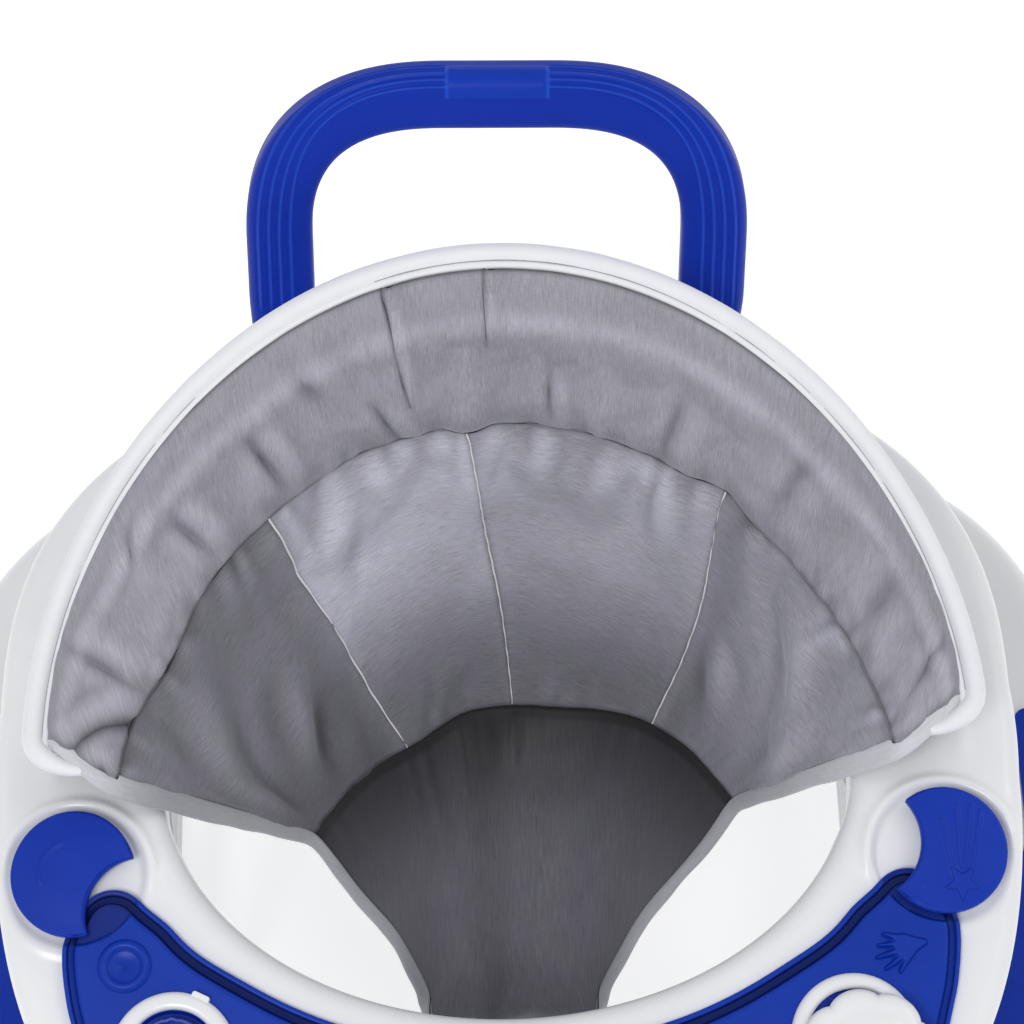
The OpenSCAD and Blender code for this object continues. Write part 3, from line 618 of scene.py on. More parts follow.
def build_console():
    loop = console_outline()
    n = len(loop)
    # the spine runs half way between the inner and the outer edge
    bow = np.clip(loop[:, 0], -178, 178)
    spine = np.stack([bow, -25 - 184 * np.sqrt(1 - (bow / 216) ** 2) + 0.10 * np.abs(bow)], -1)
    rows, cut = [], [
        (0.0, TRAY_Z - 1.0), (0.0, CONSOLE_Z - 1.2), (0.35, CONSOLE_Z - 0.35), (1.2, CONSOLE_Z),
        (1.9, CONSOLE_Z), (2.2, CONSOLE_Z - 0.5), (2.5, CONSOLE_Z - 2.2), (2.8, CONSOLE_Z - 3.0),
        (5.0, CONSOLE_Z - 3.0), (5.5, CONSOLE_Z - 2.6), (5.9, CONSOLE_Z - 0.7), (6.5, CONSOLE_Z + 0.1),
        (7.6, CONSOLE_Z + 0.4)]
    inside = (loop[:, 1] > -25
              - 184 * np.sqrt(np.maximum(1 - (loop[:, 0] / 216) ** 2, 0))) & (np.abs(loop[:, 0]) < 207)
    inside = np.convolve(np.concatenate([inside[-20:], inside, inside[:20]]), np.ones(41) / 41, "valid")
    wide = 1.0 + 0.22 * inside
    rows.append(np.column_stack([offset_loop(loop, 9), np.full(n, TRAY_Z - 1.0)]))
    for d, z in cut:
        moved = loop + (offset_loop(loop, 1.0) - loop) * (d * wide)[:, None]
        rows.append(np.column_stack([moved, np.full(n, z)]))
    inset = rows[-1][:, :2]
    for t in np.linspace(0, 1, 44)[1:]:
        rows.append(np.column_stack([inset + (spine - inset) * t, np.full(n, CONSOLE_Z + 0.4)]))
    rows = np.array(rows)
    panel = rows[4:]
    inner = smooth(np.arange(len(panel)), 6, 9)[:, None]
    relief = console_relief(panel)
    well = sum(1 - smooth(np.hypot(panel[..., 0] - s * DISC_X, panel[..., 1] - DISC_Y), DISC_WELL - 0.5,
                          DISC_WELL + 0.5) for s in (-1, 1))
    panel[..., 2] += relief * inner
    panel[..., 2] = np.where(well > 0.5, np.minimum(panel[..., 2], CONSOLE_Z - 1.2), panel[..., 2])
    # painted shade: darker in the channel round the panel's edge, most on its inner side, and in the disc
    # wells
    painted_shade = np.zeros(rows.shape[:2])
    painted_shade[5:13] = np.array([0.2, 0.55, 0.9, 0.95, 0.95, 0.95, 0.9, 0.2])[:, None] * (0.30 + 0.70 * inside)
    painted_shade[4:] += 0.6 * np.clip(well, 0, 1)
    body = rings_mesh("console_panel", bend(rows), "tray", BLUE_PANEL, loop=True, sharp=60,
                      attrs={"painted_light": np.clip(painted_shade, 0, 1)})
    build_reliefs()
    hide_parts("console")


def star_relief(x, y, cx, cy):
    """A plain five-pointed star with four raised trails that spread away from it."""
    dx, dy = x - cx, y - cy
    a = np.arctan2(dy, dx) + 0.35
    r = np.hypot(dx, dy)
    k = math.pi * 2 / 5
    m = np.abs(((a + k / 2) % k) - k / 2)
    edge = 9.2 * (0.48 / (0.48 * np.cos(m) + (1 - 0.48 * math.cos(k / 2)) / math.sin(k / 2) * np.sin(m)))
    h = 1.15 * (1 - smooth(r, edge - 0.9, edge + 0.3))
    for ax, ay, ex, ey in ((-4.2, 6.0, -8.0, 30.0), (-0.4, 8.0, -0.6, 36.5), (1.6, 8.0, 6.5, 36.5),
                           (4.6, 5.0, 11.0, 34.0)):
        t = np.clip(((dx - ax) * (ex - ax) + (dy - ay) * (ey - ay)) / ((ex - ax) ** 2 + (ey - ay) ** 2), 0, 1)
        d = np.hypot(dx - ax - t * (ex - ax), dy - ay - t * (ey - ay))
        h = np.maximum(h, 0.85 * bell(d, 0.9))
    return h


def build_disc(side):
    s = -1 if side == "left" else 1
    turn = BITE_TURN[side]
    cx, cy = s * DISC_X, DISC_Y
    bx, by = cx + BITE_D * math.cos(turn), cy + BITE_D * math.sin(turn)
    # where the bite meets the rim, seen from the disc's centre and from the bite's
    half = math.acos((DISC_R ** 2 + BITE_D ** 2 - BITE_R ** 2) / (2 * DISC_R * BITE_D))
    bite = math.acos((BITE_R ** 2 + BITE_D ** 2 - DISC_R ** 2) / (2 * BITE_R * BITE_D))
    a = np.linspace(turn + half, turn + 2 * math.pi - half, 300)
    rim = np.stack([cx + DISC_R * np.cos(a), cy + DISC_R * np.sin(a)], -1)
    b = np.linspace(turn + math.pi + bite, turn + math.pi - bite, 130)[1:-1]
    notch = np.stack([bx + BITE_R * np.cos(b), by + BITE_R * np.sin(b)], -1)
    loop = resample(np.vstack([rim, notch]), 560)
    k = np.hanning(9)
    k /= k.sum()
    wrapped = np.vstack([loop[-20:], loop, loop[:20]])
    loop = resample(np.stack([np.convolve(wrapped[:, i], k, "same") for i in (0, 1)], -1)[20:-20], 560)
    # the spine is an arc in the middle of the crescent
    mid = np.arctan2(loop[:, 1] - by, loop[:, 0] - bx)
    span = np.clip(np.angle(np.exp(1j * (mid - turn - math.pi))), -0.82, 0.82)
    reach = BITE_R + 5.8 + 5.8 * np.cos(span * 1.75)
    spine = np.stack([bx + reach * np.cos(span + turn + math.pi),
                      by + reach * np.sin(span + turn + math.pi)], -1)
    rows = []
    for t in np.linspace(1, 0, 6)[:-1]:
        p = offset_loop(loop, 1.8)
        rows.append(np.column_stack([p + (spine - p) * t, np.full(len(loop), DISC_Z0)]))
    for d, z in ((1.8, DISC_Z0), (0.5, DISC_Z0), (0.0, DISC_Z0 + 0.5), (0.0, DISC_Z1 - 1.3),
                 (0.4, DISC_Z1 - 0.45), (1.3, DISC_Z1)):
        rows.append(np.column_stack([offset_loop(loop, d), np.full(len(loop), z)]))
    inset = rows[-1][:, :2]
    for t in np.linspace(0, 1, 60)[1:]:
        p = inset + (spine - inset) * t
        r = np.hypot(p[:, 0] - cx, p[:, 1] - cy)
        z = DISC_Z1 + 0.9 * smooth(-r, -29, -8)
        if side == "right":
            z = z + star_relief(p[:, 0], p[:, 1], cx + 7.0, cy - 16.0) * smooth(t, 0.0, 0.1)
        else:
            arc = np.abs(np.angle(np.exp(1j * (np.arctan2(p[:, 1] - cy, p[:, 0] - cx) - turn - math.pi))))
            z = z + 0.5 * bell(r - 16, 0.8) * smooth(t, 0.0, 0.1) * (1 - smooth(arc, 0.6, 0.9))
        rows.append(np.column_stack([p, z]))
    ob = rings_mesh(f"crescent_{side}", bend(np.array(rows)), f"lock_{side}", BLUE,
                    caps=False, sharp=60)
    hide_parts(f"lock_disc_{side}")


# ---------------------------------------------------------------- toys

def build_toys():
    z = CONSOLE_Z
    for s, name in ((-1, "left"), (1, "right")):
        inner = BEZEL_IN if s < 0 else BEZEL_IN + 1
        profile = [(BEZEL_R, z - 0.6), (BEZEL_R, z + 2.5), (BEZEL_R - 0.5, z + 4.0), (BEZEL_R - 1.8, z + 5.4),
                   (BEZEL_R - 3.6, z + 6.3), (BEZEL_R - 5.4, z + BEZEL_H), (inner + 1.4, z + BEZEL_H - 0.2),
                   (inner + 0.4, z + BEZEL_H - 0.8), (inner, z + BEZEL_H - 1.8), (inner, z - 0.6)]
        ob = turned(f"bezel_ring_{name}", profile, "tray", WHITE, place=bend,
                    centre=(s * TOY_X, TOY_Y), n=160, sharp=50)
        if s < 0:
            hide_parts("toy_bezels")
        if s < 0:
            well = [(inner + 0.3, z + BEZEL_H - 2.6), (inner - 0.6, z + 2.0), (inner - 1.5, z + 0.5),
                    (BALL_R + 1.9, z - 0.2), (BALL_R + 1.9, z - 4.4)]
        else:
            well = [(inner + 0.3, z + BEZEL_H - 2.6), (inner - 0.4, z + 1.6), (inner - 4.0, z + 1.0),
                    (10, z + 1.0), (9, z + 2.0), (0, z + 2.0), (0, z - 0.4), (inner, z - 0.4)]
        turned(f"toy_well_{name}", well, "tray", BLUE_GLOSS, place=bend,
               centre=(s * TOY_X, TOY_Y), n=128, sharp=50)
    # a small catch on the left bezel
    tab = rrect_pts(9, 4.2, 1.4, 5)
    a = math.radians(64)
    rot = np.array([[math.cos(a - math.pi / 2), math.sin(a - math.pi / 2)],
                    [-math.sin(a - math.pi / 2), math.cos(a - math.pi / 2)]])
    centre = np.array([-TOY_X + 29.6 * math.cos(a), TOY_Y + 29.6 * math.sin(a)])
    rings_mesh("bezel_catch",
               bend(slab_rings(lambda d: offset_loop(tab, d) @ rot + centre, z - 0.4, z + 4.6, 0.7)),
               "tray", WHITE, sharp=50)
    # ball on its stub axle, with a raised equator band and two dimples
    lat = np.linspace(-math.pi / 2, math.pi / 2, 61)
    profile = []
    for v in lat:
        r = BALL_R + 0.35 * float(bell(v, 0.07)) - 0.25 * float(bell(abs(v) - 0.16, 0.05))
        profile.append((max(r * math.cos(v), 0.0), r * math.sin(v)))
    axle = [(0.0, -24.4), (2.0, -24.4), (2.4, -24.0), (2.4, -18.4)]
    profile = axle + [p for p in profile if p[0] > 2.4] + [(x, -y) for x, y in axle[::-1]]

    def place_ball(p):
        turned_p = np.stack([p[..., 2] - TOY_X, p[..., 0] + TOY_Y, p[..., 1] + CONSOLE_Z + BALL_UP], -1)
        return bend(turned_p)

    ob = turned("roller_toy", profile, "roller", BLUE_GLOSS, place=place_ball, n=96, sharp=60)
    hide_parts("roller_ball")
    # scalloped knob
    a = np.linspace(0, 2 * math.pi, 320, endpoint=False)
    scallop = FLOWER_R - 3.0 * (1 - np.abs(np.cos(4 * (a - 0.2))) ** 0.7)
    rows = []
    for share, z in ((0.20, 6.9), (0.80, 6.9), (0.93, 7.6), (0.985, 9.2), (1.0, 11.5), (0.99, 13.4),
                     (0.955, 15.2), (0.90, 16.4), (0.83, 17.1), (0.77, 17.2), (0.74, 17.0), (0.70, 17.4),
                     (0.62, 18.3), (0.48, 18.9), (0.30, 19.1), (0.15, 19.1)):
        blend_in = smooth(share, 0.45, 0.85)
        r = share * (scallop * blend_in + (FLOWER_R - 5) * (1 - blend_in))
        rows.append(np.stack([FLOWER_X + r * np.cos(a), FLOWER_Y + r * np.sin(a),
                              np.full(len(a), CONSOLE_Z + z)], -1))
    ob = rings_mesh("petal_knob", bend(np.array(rows)), "flower", WHITE, sharp=60)
    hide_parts("flower_knob")
    turned("knob_post", [(0, CONSOLE_Z + 1), (4.6, CONSOLE_Z + 1), (4.0, CONSOLE_Z + 2),
                         (4.0, CONSOLE_Z + 6.8), (0, CONSOLE_Z + 6.8)], "tray", WHITE,
           place=bend, centre=(FLOWER_X, FLOWER_Y), n=40)


def build_music_box():
    outline = rrect_pts(BOX_W, BOX_L, 16, 16, (0, BOX_Y))
    rows = []
    for d, z in ((0, BOX_Z0 - 0.6), (0, BOX_Z0 + 2), (0.6, BOX_Z0 + 12), (0.9, BOX_Z1 - 4),
                 (1.7, BOX_Z1 - 1.6), (3.4, BOX_Z1 - 0.3), (5.0, BOX_Z1), (6.4, BOX_Z1),
                 (6.8, BOX_Z1 - 0.5), (7.2, BOX_Z1 - 0.8), (7.8, BOX_Z1 - 0.8), (8.2, BOX_Z1 - 0.5),
                 (8.6, BOX_Z1)):
        rows.append(np.column_stack([offset_loop(outline, d), np.full(len(outline), z)]))
    inset = rows[-1][:, :2]
    line = np.stack([np.clip(inset[:, 0], -36, 36), np.full(len(inset), BOX_Y)], -1)
    for t in np.linspace(0, 1, 30)[1:]:
        rows.append(np.column_stack([inset + (line - inset) * t, np.full(len(inset), BOX_Z1)]))
    rows = np.array(rows)
    lid = rows[12:]
    for i in (-1, 0, 1):
        r = np.hypot(lid[..., 0] - i * BUTTON_PITCH, lid[..., 1] - BUTTON_Y)
        lid[..., 2] += 0.9 * bell(r - 12.2, 1.2) - 2.6 * (1 - smooth(r, 9.6, 10.6))
    for i in range(-3, 4):
        r = np.hypot(lid[..., 0] - i * 7, lid[..., 1] - BOX_Y - 19)
        lid[..., 2] -= 1.8 * (1 - smooth(r, 1.2, 2.2))
    ob = rings_mesh("music_box_shell", bend(rows), "tray", BLUE, sharp=60)
    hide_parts("music_box")
    for i, name, mat in ((-1, "left", BLUE_GLOSS), (0, "middle", WHITE), (1, "right", BLUE_GLOSS)):
        z = BOX_Z1
        profile = [(0, z - 6.3), (11.5, z - 6.3), (11.5, z - 3.3), (BUTTON_R, z - 3.3), (BUTTON_R, z + 1.8),
                   (BUTTON_R - 0.5, z + 2.8), (BUTTON_R - 1.6, z + 3.4), (BUTTON_R - 3.0, z + 3.5),
                   (5.0, z + 3.1), (2.5, z + 2.8), (0, z + 2.7)]
        ob = turned(f"key_{name}_cap", profile, f"key_{name}", mat,
                    place=bend,
                    centre=(i * BUTTON_PITCH, BUTTON_Y), n=80, sharp=50)
        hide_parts(f"melody_button_{name}")


# ---------------------------------------------------------------- push handle

HANDLE_SKEW = math.radians(1.55)


def handle_path():
    """Points and tangents along the handle's centreline, with a share of 0 on a leg and 1 on the bar."""
    t = np.linspace(0, math.pi / 2, 900)
    bend_y, flat = BAR_TOP - 78.0, 24.0
    corner = np.stack([-(flat + 83.4 * np.cos(t) ** 0.79), bend_y + 78.0 * np.sin(t) ** 0.79], -1)
    y = np.linspace(LEG_BOTTOM, bend_y, 200)[:-1]
    leg = np.stack([-LEG_X - 3.4 * smooth(y, -14, 30), y], -1)
    half = np.vstack([leg, corner, [[-12.0, BAR_TOP]]])
    path = np.vstack([half, [[0.0, BAR_TOP]], half[::-1] * [-1, 1]])
    s = np.concatenate([[0], np.cumsum(np.hypot(*np.diff(path, axis=0).T))])
    at = np.linspace(0, s[-1], 380)
    path = np.stack([np.interp(at, s, path[:, k]) for k in (0, 1)], -1)
    tan = np.gradient(path, axis=0)
    tan /= np.hypot(tan[:, 0], tan[:, 1])[:, None]
    share = smooth(np.abs(np.arctan2(tan[:, 0], np.abs(tan[:, 1]))), 0.0, math.pi / 2)
    return path, tan, share


def build_handle():
    section = resample(rrect_pts(BAR_W, BAR_T, BAR_R, 24), 200)
    start = int(np.argmin(np.hypot(section[:, 0] - BAR_W / 2, section[:, 1])))
    section = np.roll(section, -start, 0)
    step = np.hypot(*(np.roll(section, -1, 0) - section).T)
    arc = np.concatenate([[0], np.cumsum(step)[:-1]])
    centre_pull = offset_loop(section, 1.0) - section
    # the grip falls away a little towards the inside of the loop
    thin = 1 - 0.20 * smooth(-section[:, 0], -3.0, BAR_W / 2)
    leg_ribs, bar_ribs = (14.9, 20.1, 25.3, 30.6), (2.1, 7.1, 10.8, 14.4)
    rows, painted_highlights = [], []
    path, tangents, shares = handle_path()
    skew = HANDLE_SKEW
    for (x, y), (tx, ty), w in zip(path, tangents, shares):
        out = np.array([-ty, tx])
        ribs_on = smooth(y, 20, 30) * smooth(abs(x), 24.5, 25.5 if y > 100 else 24.6)
        lift = np.zeros(len(section))
        # painted highlight: paler lines along each rib and on the bar's plaque, brightest at its border
        painted_light = np.zeros(len(section))
        for a0, a1 in zip(leg_ribs, bar_ribs):
            at = a0 + (a1 - a0) * w
            lift += (0.60 * bell(arc - at, 0.62) - 0.30 * bell(arc - at - 1.5, 0.7)
                     - 0.30 * bell(arc - at + 1.5, 0.7))
            painted_light += bell(arc - at, 0.50)
        lift *= ribs_on
        painted_light *= ribs_on * 0.70
        if y > 100:
            span = smooth(arc, 0.6, 1.4) * (1 - smooth(arc, 20.2, 21.0))
            lift += 0.9 * smooth(-abs(x), -24.4, -23.6) * span
            painted_light = np.maximum(painted_light, np.maximum(0.14 * smooth(-abs(x), -24.4, -23.6),
                                               0.75 * bell(abs(x) - 24.0, 0.5)) * span)
        p = section - centre_pull * lift[:, None]
        p = p * np.stack([np.full(len(p), 1 - 0.045 * w), thin], -1)
        plane = np.array([x, y]) + p[:, :1] * out
        a = skew * float(smooth(y, -20, 30))
        px, py = plane[:, 0], plane[:, 1] + 30
        plane = np.stack([px * math.cos(a) + py * math.sin(a), -px * math.sin(a) + py * math.cos(a) - 30], -1)
        rows.append(np.column_stack([plane, p[:, 1]]))
        painted_highlights.append(painted_light)
    n = len(section)
    ob = make("push_handle_grip", on_handle(np.array(rows)),
              grid_faces(len(rows), n, wrap_cols=True)
              + [list(range(n))[::-1], [(len(rows) - 1) * n + i for i in range(n)]],
              "tray", BLUE_GRIP, sharp=60)
    set_attribute(ob, "painted_light", np.clip(np.array(painted_highlights), 0, 1))
    bm = bmesh.new()
    bm.from_mesh(ob.data)
    bmesh.ops.recalc_face_normals(bm, faces=bm.faces)
    bm.to_mesh(ob.data)
    bm.free()
    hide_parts("push_handle")
    for side, s in (("left", -1), ("right", 1)):
        x0, x1 = 7.0, BAR_W / 2 + 6
        profile = [(0, x0), (5, x0), (5, x1 - 1.2), (4.6, x1 - 0.4), (3.8, x1), (0, x1 - 0.3)]

        def place(p, s=s):
            return on_handle(np.stack([s * (LEG_X + p[..., 2]), p[..., 0] - 32, p[..., 1]], -1))
        ob = turned(f"snap_button_{side}", profile, f"snap_{side}", FRAME_W, place=place,
                    n=48, sharp=50)
        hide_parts(f"handle_button_{side}")


# ---------------------------------------------------------------- seat

def rim_z(t):
    return 440 + 100 * np.maximum(np.cos(t), 0) ** 1.7


def rim_pt(t, inset=0.0, drop=0.0):
    return np.stack([(RIM_A - inset) * np.sin(t), SEAT_Y + (RIM_B - inset) * np.cos(t), rim_z(t) - drop], -1)


def rim_t(u):
    return np.where(np.asarray(u) < 0, -np.asarray(u) * RIM_LEFT, np.asarray(u) * RIM_RIGHT)


def seam_top(u):
    t = np.asarray(u) * math.pi / 2
    x = 187 * np.sin(t) + 2.4 * bell(u - 0.405, 0.05) + 5.5 * bell(u + 0.72, 0.1)
    y = (-33 + 184 * np.maximum(np.cos(t), 0) ** 1.3 + 4.3 * bell(u - 0.405, 0.045)
         + 2.2 * bell(u + 0.255, 0.06))
    y = y - 4.4 * bell(u + 0.05, 0.03) - 3.3 * bell(u + 0.72, 0.1) + 7.5 * smooth(u, 0.82, 1.0)
    return np.stack([x, y, 430 + 15 * np.cos(t)], -1)


def seam_pull(u):
    """How far the seat's lower seam is drawn off its even curve."""
    x = 3.5 * bell(u + 0.42, 0.2) + 16.0 * smooth(u, 0.2, 0.65)
    y = -7.0 * bell(u + 0.33, 0.16) + 13.0 * smooth(u, 0.12, 0.5)
    return np.stack([x, y, 0 * x], -1)


def seam_low(u):
    s = np.sin(np.asarray(u) * math.pi / 2)
    return np.stack([100 * s, 73 - 95 * np.abs(s) ** 2.6, 270 + 55 * np.abs(s) ** 3], -1) + seam_pull(u)


def normals(grid):
    """Unit normals of a grid of points, turned towards the seat's middle."""
    n = np.cross(np.gradient(grid, axis=1), np.gradient(grid, axis=0))
    n /= np.maximum(np.linalg.norm(n, axis=-1), 1e-9)[..., None]
    inward = np.sum(n * (SEAT_O + [0, -30, 120] - grid), -1).mean() > 0
    return n if inward else -n


def lengths(grid, axis):
    step = np.linalg.norm(np.diff(grid, axis=axis), axis=-1)
    zero = np.zeros_like(np.take(step, [0], axis=axis))
    return np.concatenate([zero, np.cumsum(step, axis=axis)], axis=axis)


def pucker(u, v, count, depth, seed, edges=(0, 1), reach=0.22):
    """Small gathers that run out from a seam: ridges across u that fade away from the edges of v."""
    rng = np.random.default_rng(seed)
    h = np.zeros(np.broadcast(u, v).shape)
    for edge in edges:
        held = 1 - np.exp(-(np.abs(v - edge) / 0.035) ** 2)
        for c in rng.uniform(u.min(), u.max(), count):
            w = rng.uniform(0.006, 0.018)
            r = reach * rng.uniform(0.5, 1.3)
            lean = rng.uniform(-0.08, 0.08)
            d = np.abs(v - edge)
            h += held * rng.uniform(0.3, 1.0) * bell(u - c - lean * d, w * (1 + 2 * d / r)) * np.exp(-d / r)
    return depth * h


def hollows(height, reach=6):
    """How far each point of a grid of heights lies below its surroundings, in mm; ridges are negative."""
    k = np.hanning(2 * reach + 3)[1:-1]
    k /= k.sum()
    soft = np.array(height, float)
    for axis in (0, 1):
        pad = [(reach, reach) if a == axis else (0, 0) for a in (0, 1)]
        soft = np.apply_along_axis(np.convolve, axis, np.pad(soft, pad, "edge"), k, "valid")
    return soft - height


def cloth_sim(ob, pinned, pressure, slack, frames=14, cap=9.0):
    """Lets a cloth grid settle between its pinned seams, then keeps the result within cap mm."""
    rest = np.array([v.co for v in ob.data.vertices])
    group = ob.vertex_groups.new(name="pin")
    for i, w in enumerate(pinned.ravel()):
        if w > 0:
            group.add([i], float(w), "REPLACE")
    mod = ob.modifiers.new("settle", "CLOTH")
    st = mod.settings
    st.quality = 5
    st.mass = 0.25
    st.tension_stiffness = st.compression_stiffness = 18
    st.shear_stiffness = 8
    st.bending_stiffness = 2.0
    st.vertex_group_mass = "pin"
    st.pin_stiffness = 1.0
    st.use_pressure = True
    st.uniform_pressure_force = pressure
    st.shrink_min = -slack
    st.effector_weights.gravity = 0.0
    mod.collision_settings.use_collision = False
    scene = bpy.context.scene
    scene.frame_set(1)
    for f in range(1, frames + 1):
        scene.frame_set(f)
    ev = ob.evaluated_get(bpy.context.evaluated_depsgraph_get())
    got = np.array([v.co for v in ev.data.vertices])
    ob.modifiers.remove(mod)
    ob.vertex_groups.clear()
    scene.frame_set(1)
    if len(got) != len(rest) or not np.isfinite(got).all():
        return
    move = (got - rest).reshape(pinned.shape + (3,))
    for _ in range(3):
        for axis in (0, 1):
            move = (np.roll(move, 1, axis) + np.roll(move, -1, axis) + 2 * move) / 4
            move[pinned > 0] = 0
    move = move.reshape(-1, 3)
    far = np.linalg.norm(move, axis=1)[:, None]
    move *= np.minimum(1.0, cap * MM / np.maximum(far, 1e-9))
    ob.data.vertices.foreach_set("co", (rest + move).astype(np.float32).ravel())
    ob.data.update()


def cloth_grid(name, grid, material, streak_along_rows, thickness=1.6, side=-1.0, sim=None, painted_light=None,
               tone_and_highlight=None, lay=None):
    """A sheet of cloth on a grid of points in mm, settled, then given its thickness on the far side."""
    rows, cols = grid.shape[:2]
    ob = make(name, grid, grid_faces(rows, cols), "tray", material)
    lay = grid if lay is None else lay
    along, across = lengths(lay, 1), lengths(lay, 0)
    mid = along - along[:, cols // 2:cols // 2 + 1]
    u, v = (across, mid) if streak_along_rows else (mid, across)
    set_lay(ob, u, v)
    if painted_light is not None:
        set_attribute(ob, "painted_light", painted_light)
    if tone_and_highlight is not None:
        set_attribute(ob, "tone_and_highlight", tone_and_highlight)
    if sim:
        pin = np.zeros((rows, cols))
        for r in sim.get("pin_rows", ()):
            pin[r, :] = 1
        for c in sim.get("pin_cols", ()):
            pin[:, c] = 1
        cloth_sim(ob, pin, sim["pressure"], sim["slack"], cap=sim["cap"])
    solid = ob.modifiers.new("thickness", "SOLIDIFY")
    solid.thickness = thickness * MM
    solid.offset = side
    return ob


SEAT_COLS = 401
PANEL_SEAMS = [(-0.425, -0.385), (-0.055, 0.02), (0.405, 0.47)]
DENTS = [(-0.40, 0.62, 0.016, 0.20, 0.05, 4.2), (-0.56, 0.62, 0.018, 0.20, 0.06, 3.4),
         (-0.655, 0.26, 0.02, 0.10, -0.1, 2.6), (-0.30, 0.36, 0.02, 0.14, 0.10, 2.0),
         (0.30, 0.72, 0.018, 0.2, -0.04, 2.4), (0.52, 0.50, 0.022, 0.25, -0.06, 2.2),
         (0.74, 0.60, 0.026, 0.25, -0.04, 3.0), (-0.82, 0.50, 0.02, 0.30, 0.05, 3.2),
         (0.09, 0.75, 0.012, 0.15, 0.02, 1.8), (-0.19, 0.80, 0.014, 0.14, 0.10, 2.6),
         (0.90, 0.4, 0.02, 0.3, 0.03, 2.4)]


def band_base(u, v):
    """The band before it is padded: from the backrest's rim down to the band's seam."""
    t = rim_t(u)
    grid = rim_pt(t, 11.0, 6.0)[None] * (1 - v[..., None]) + seam_top(u)[None] * v[..., None]
    ends = smooth(np.abs(u), 0.94, 1.0)[None, :] * (1 - v) ** 2
    grid[..., 1] += 1.5 * ends
    return grid


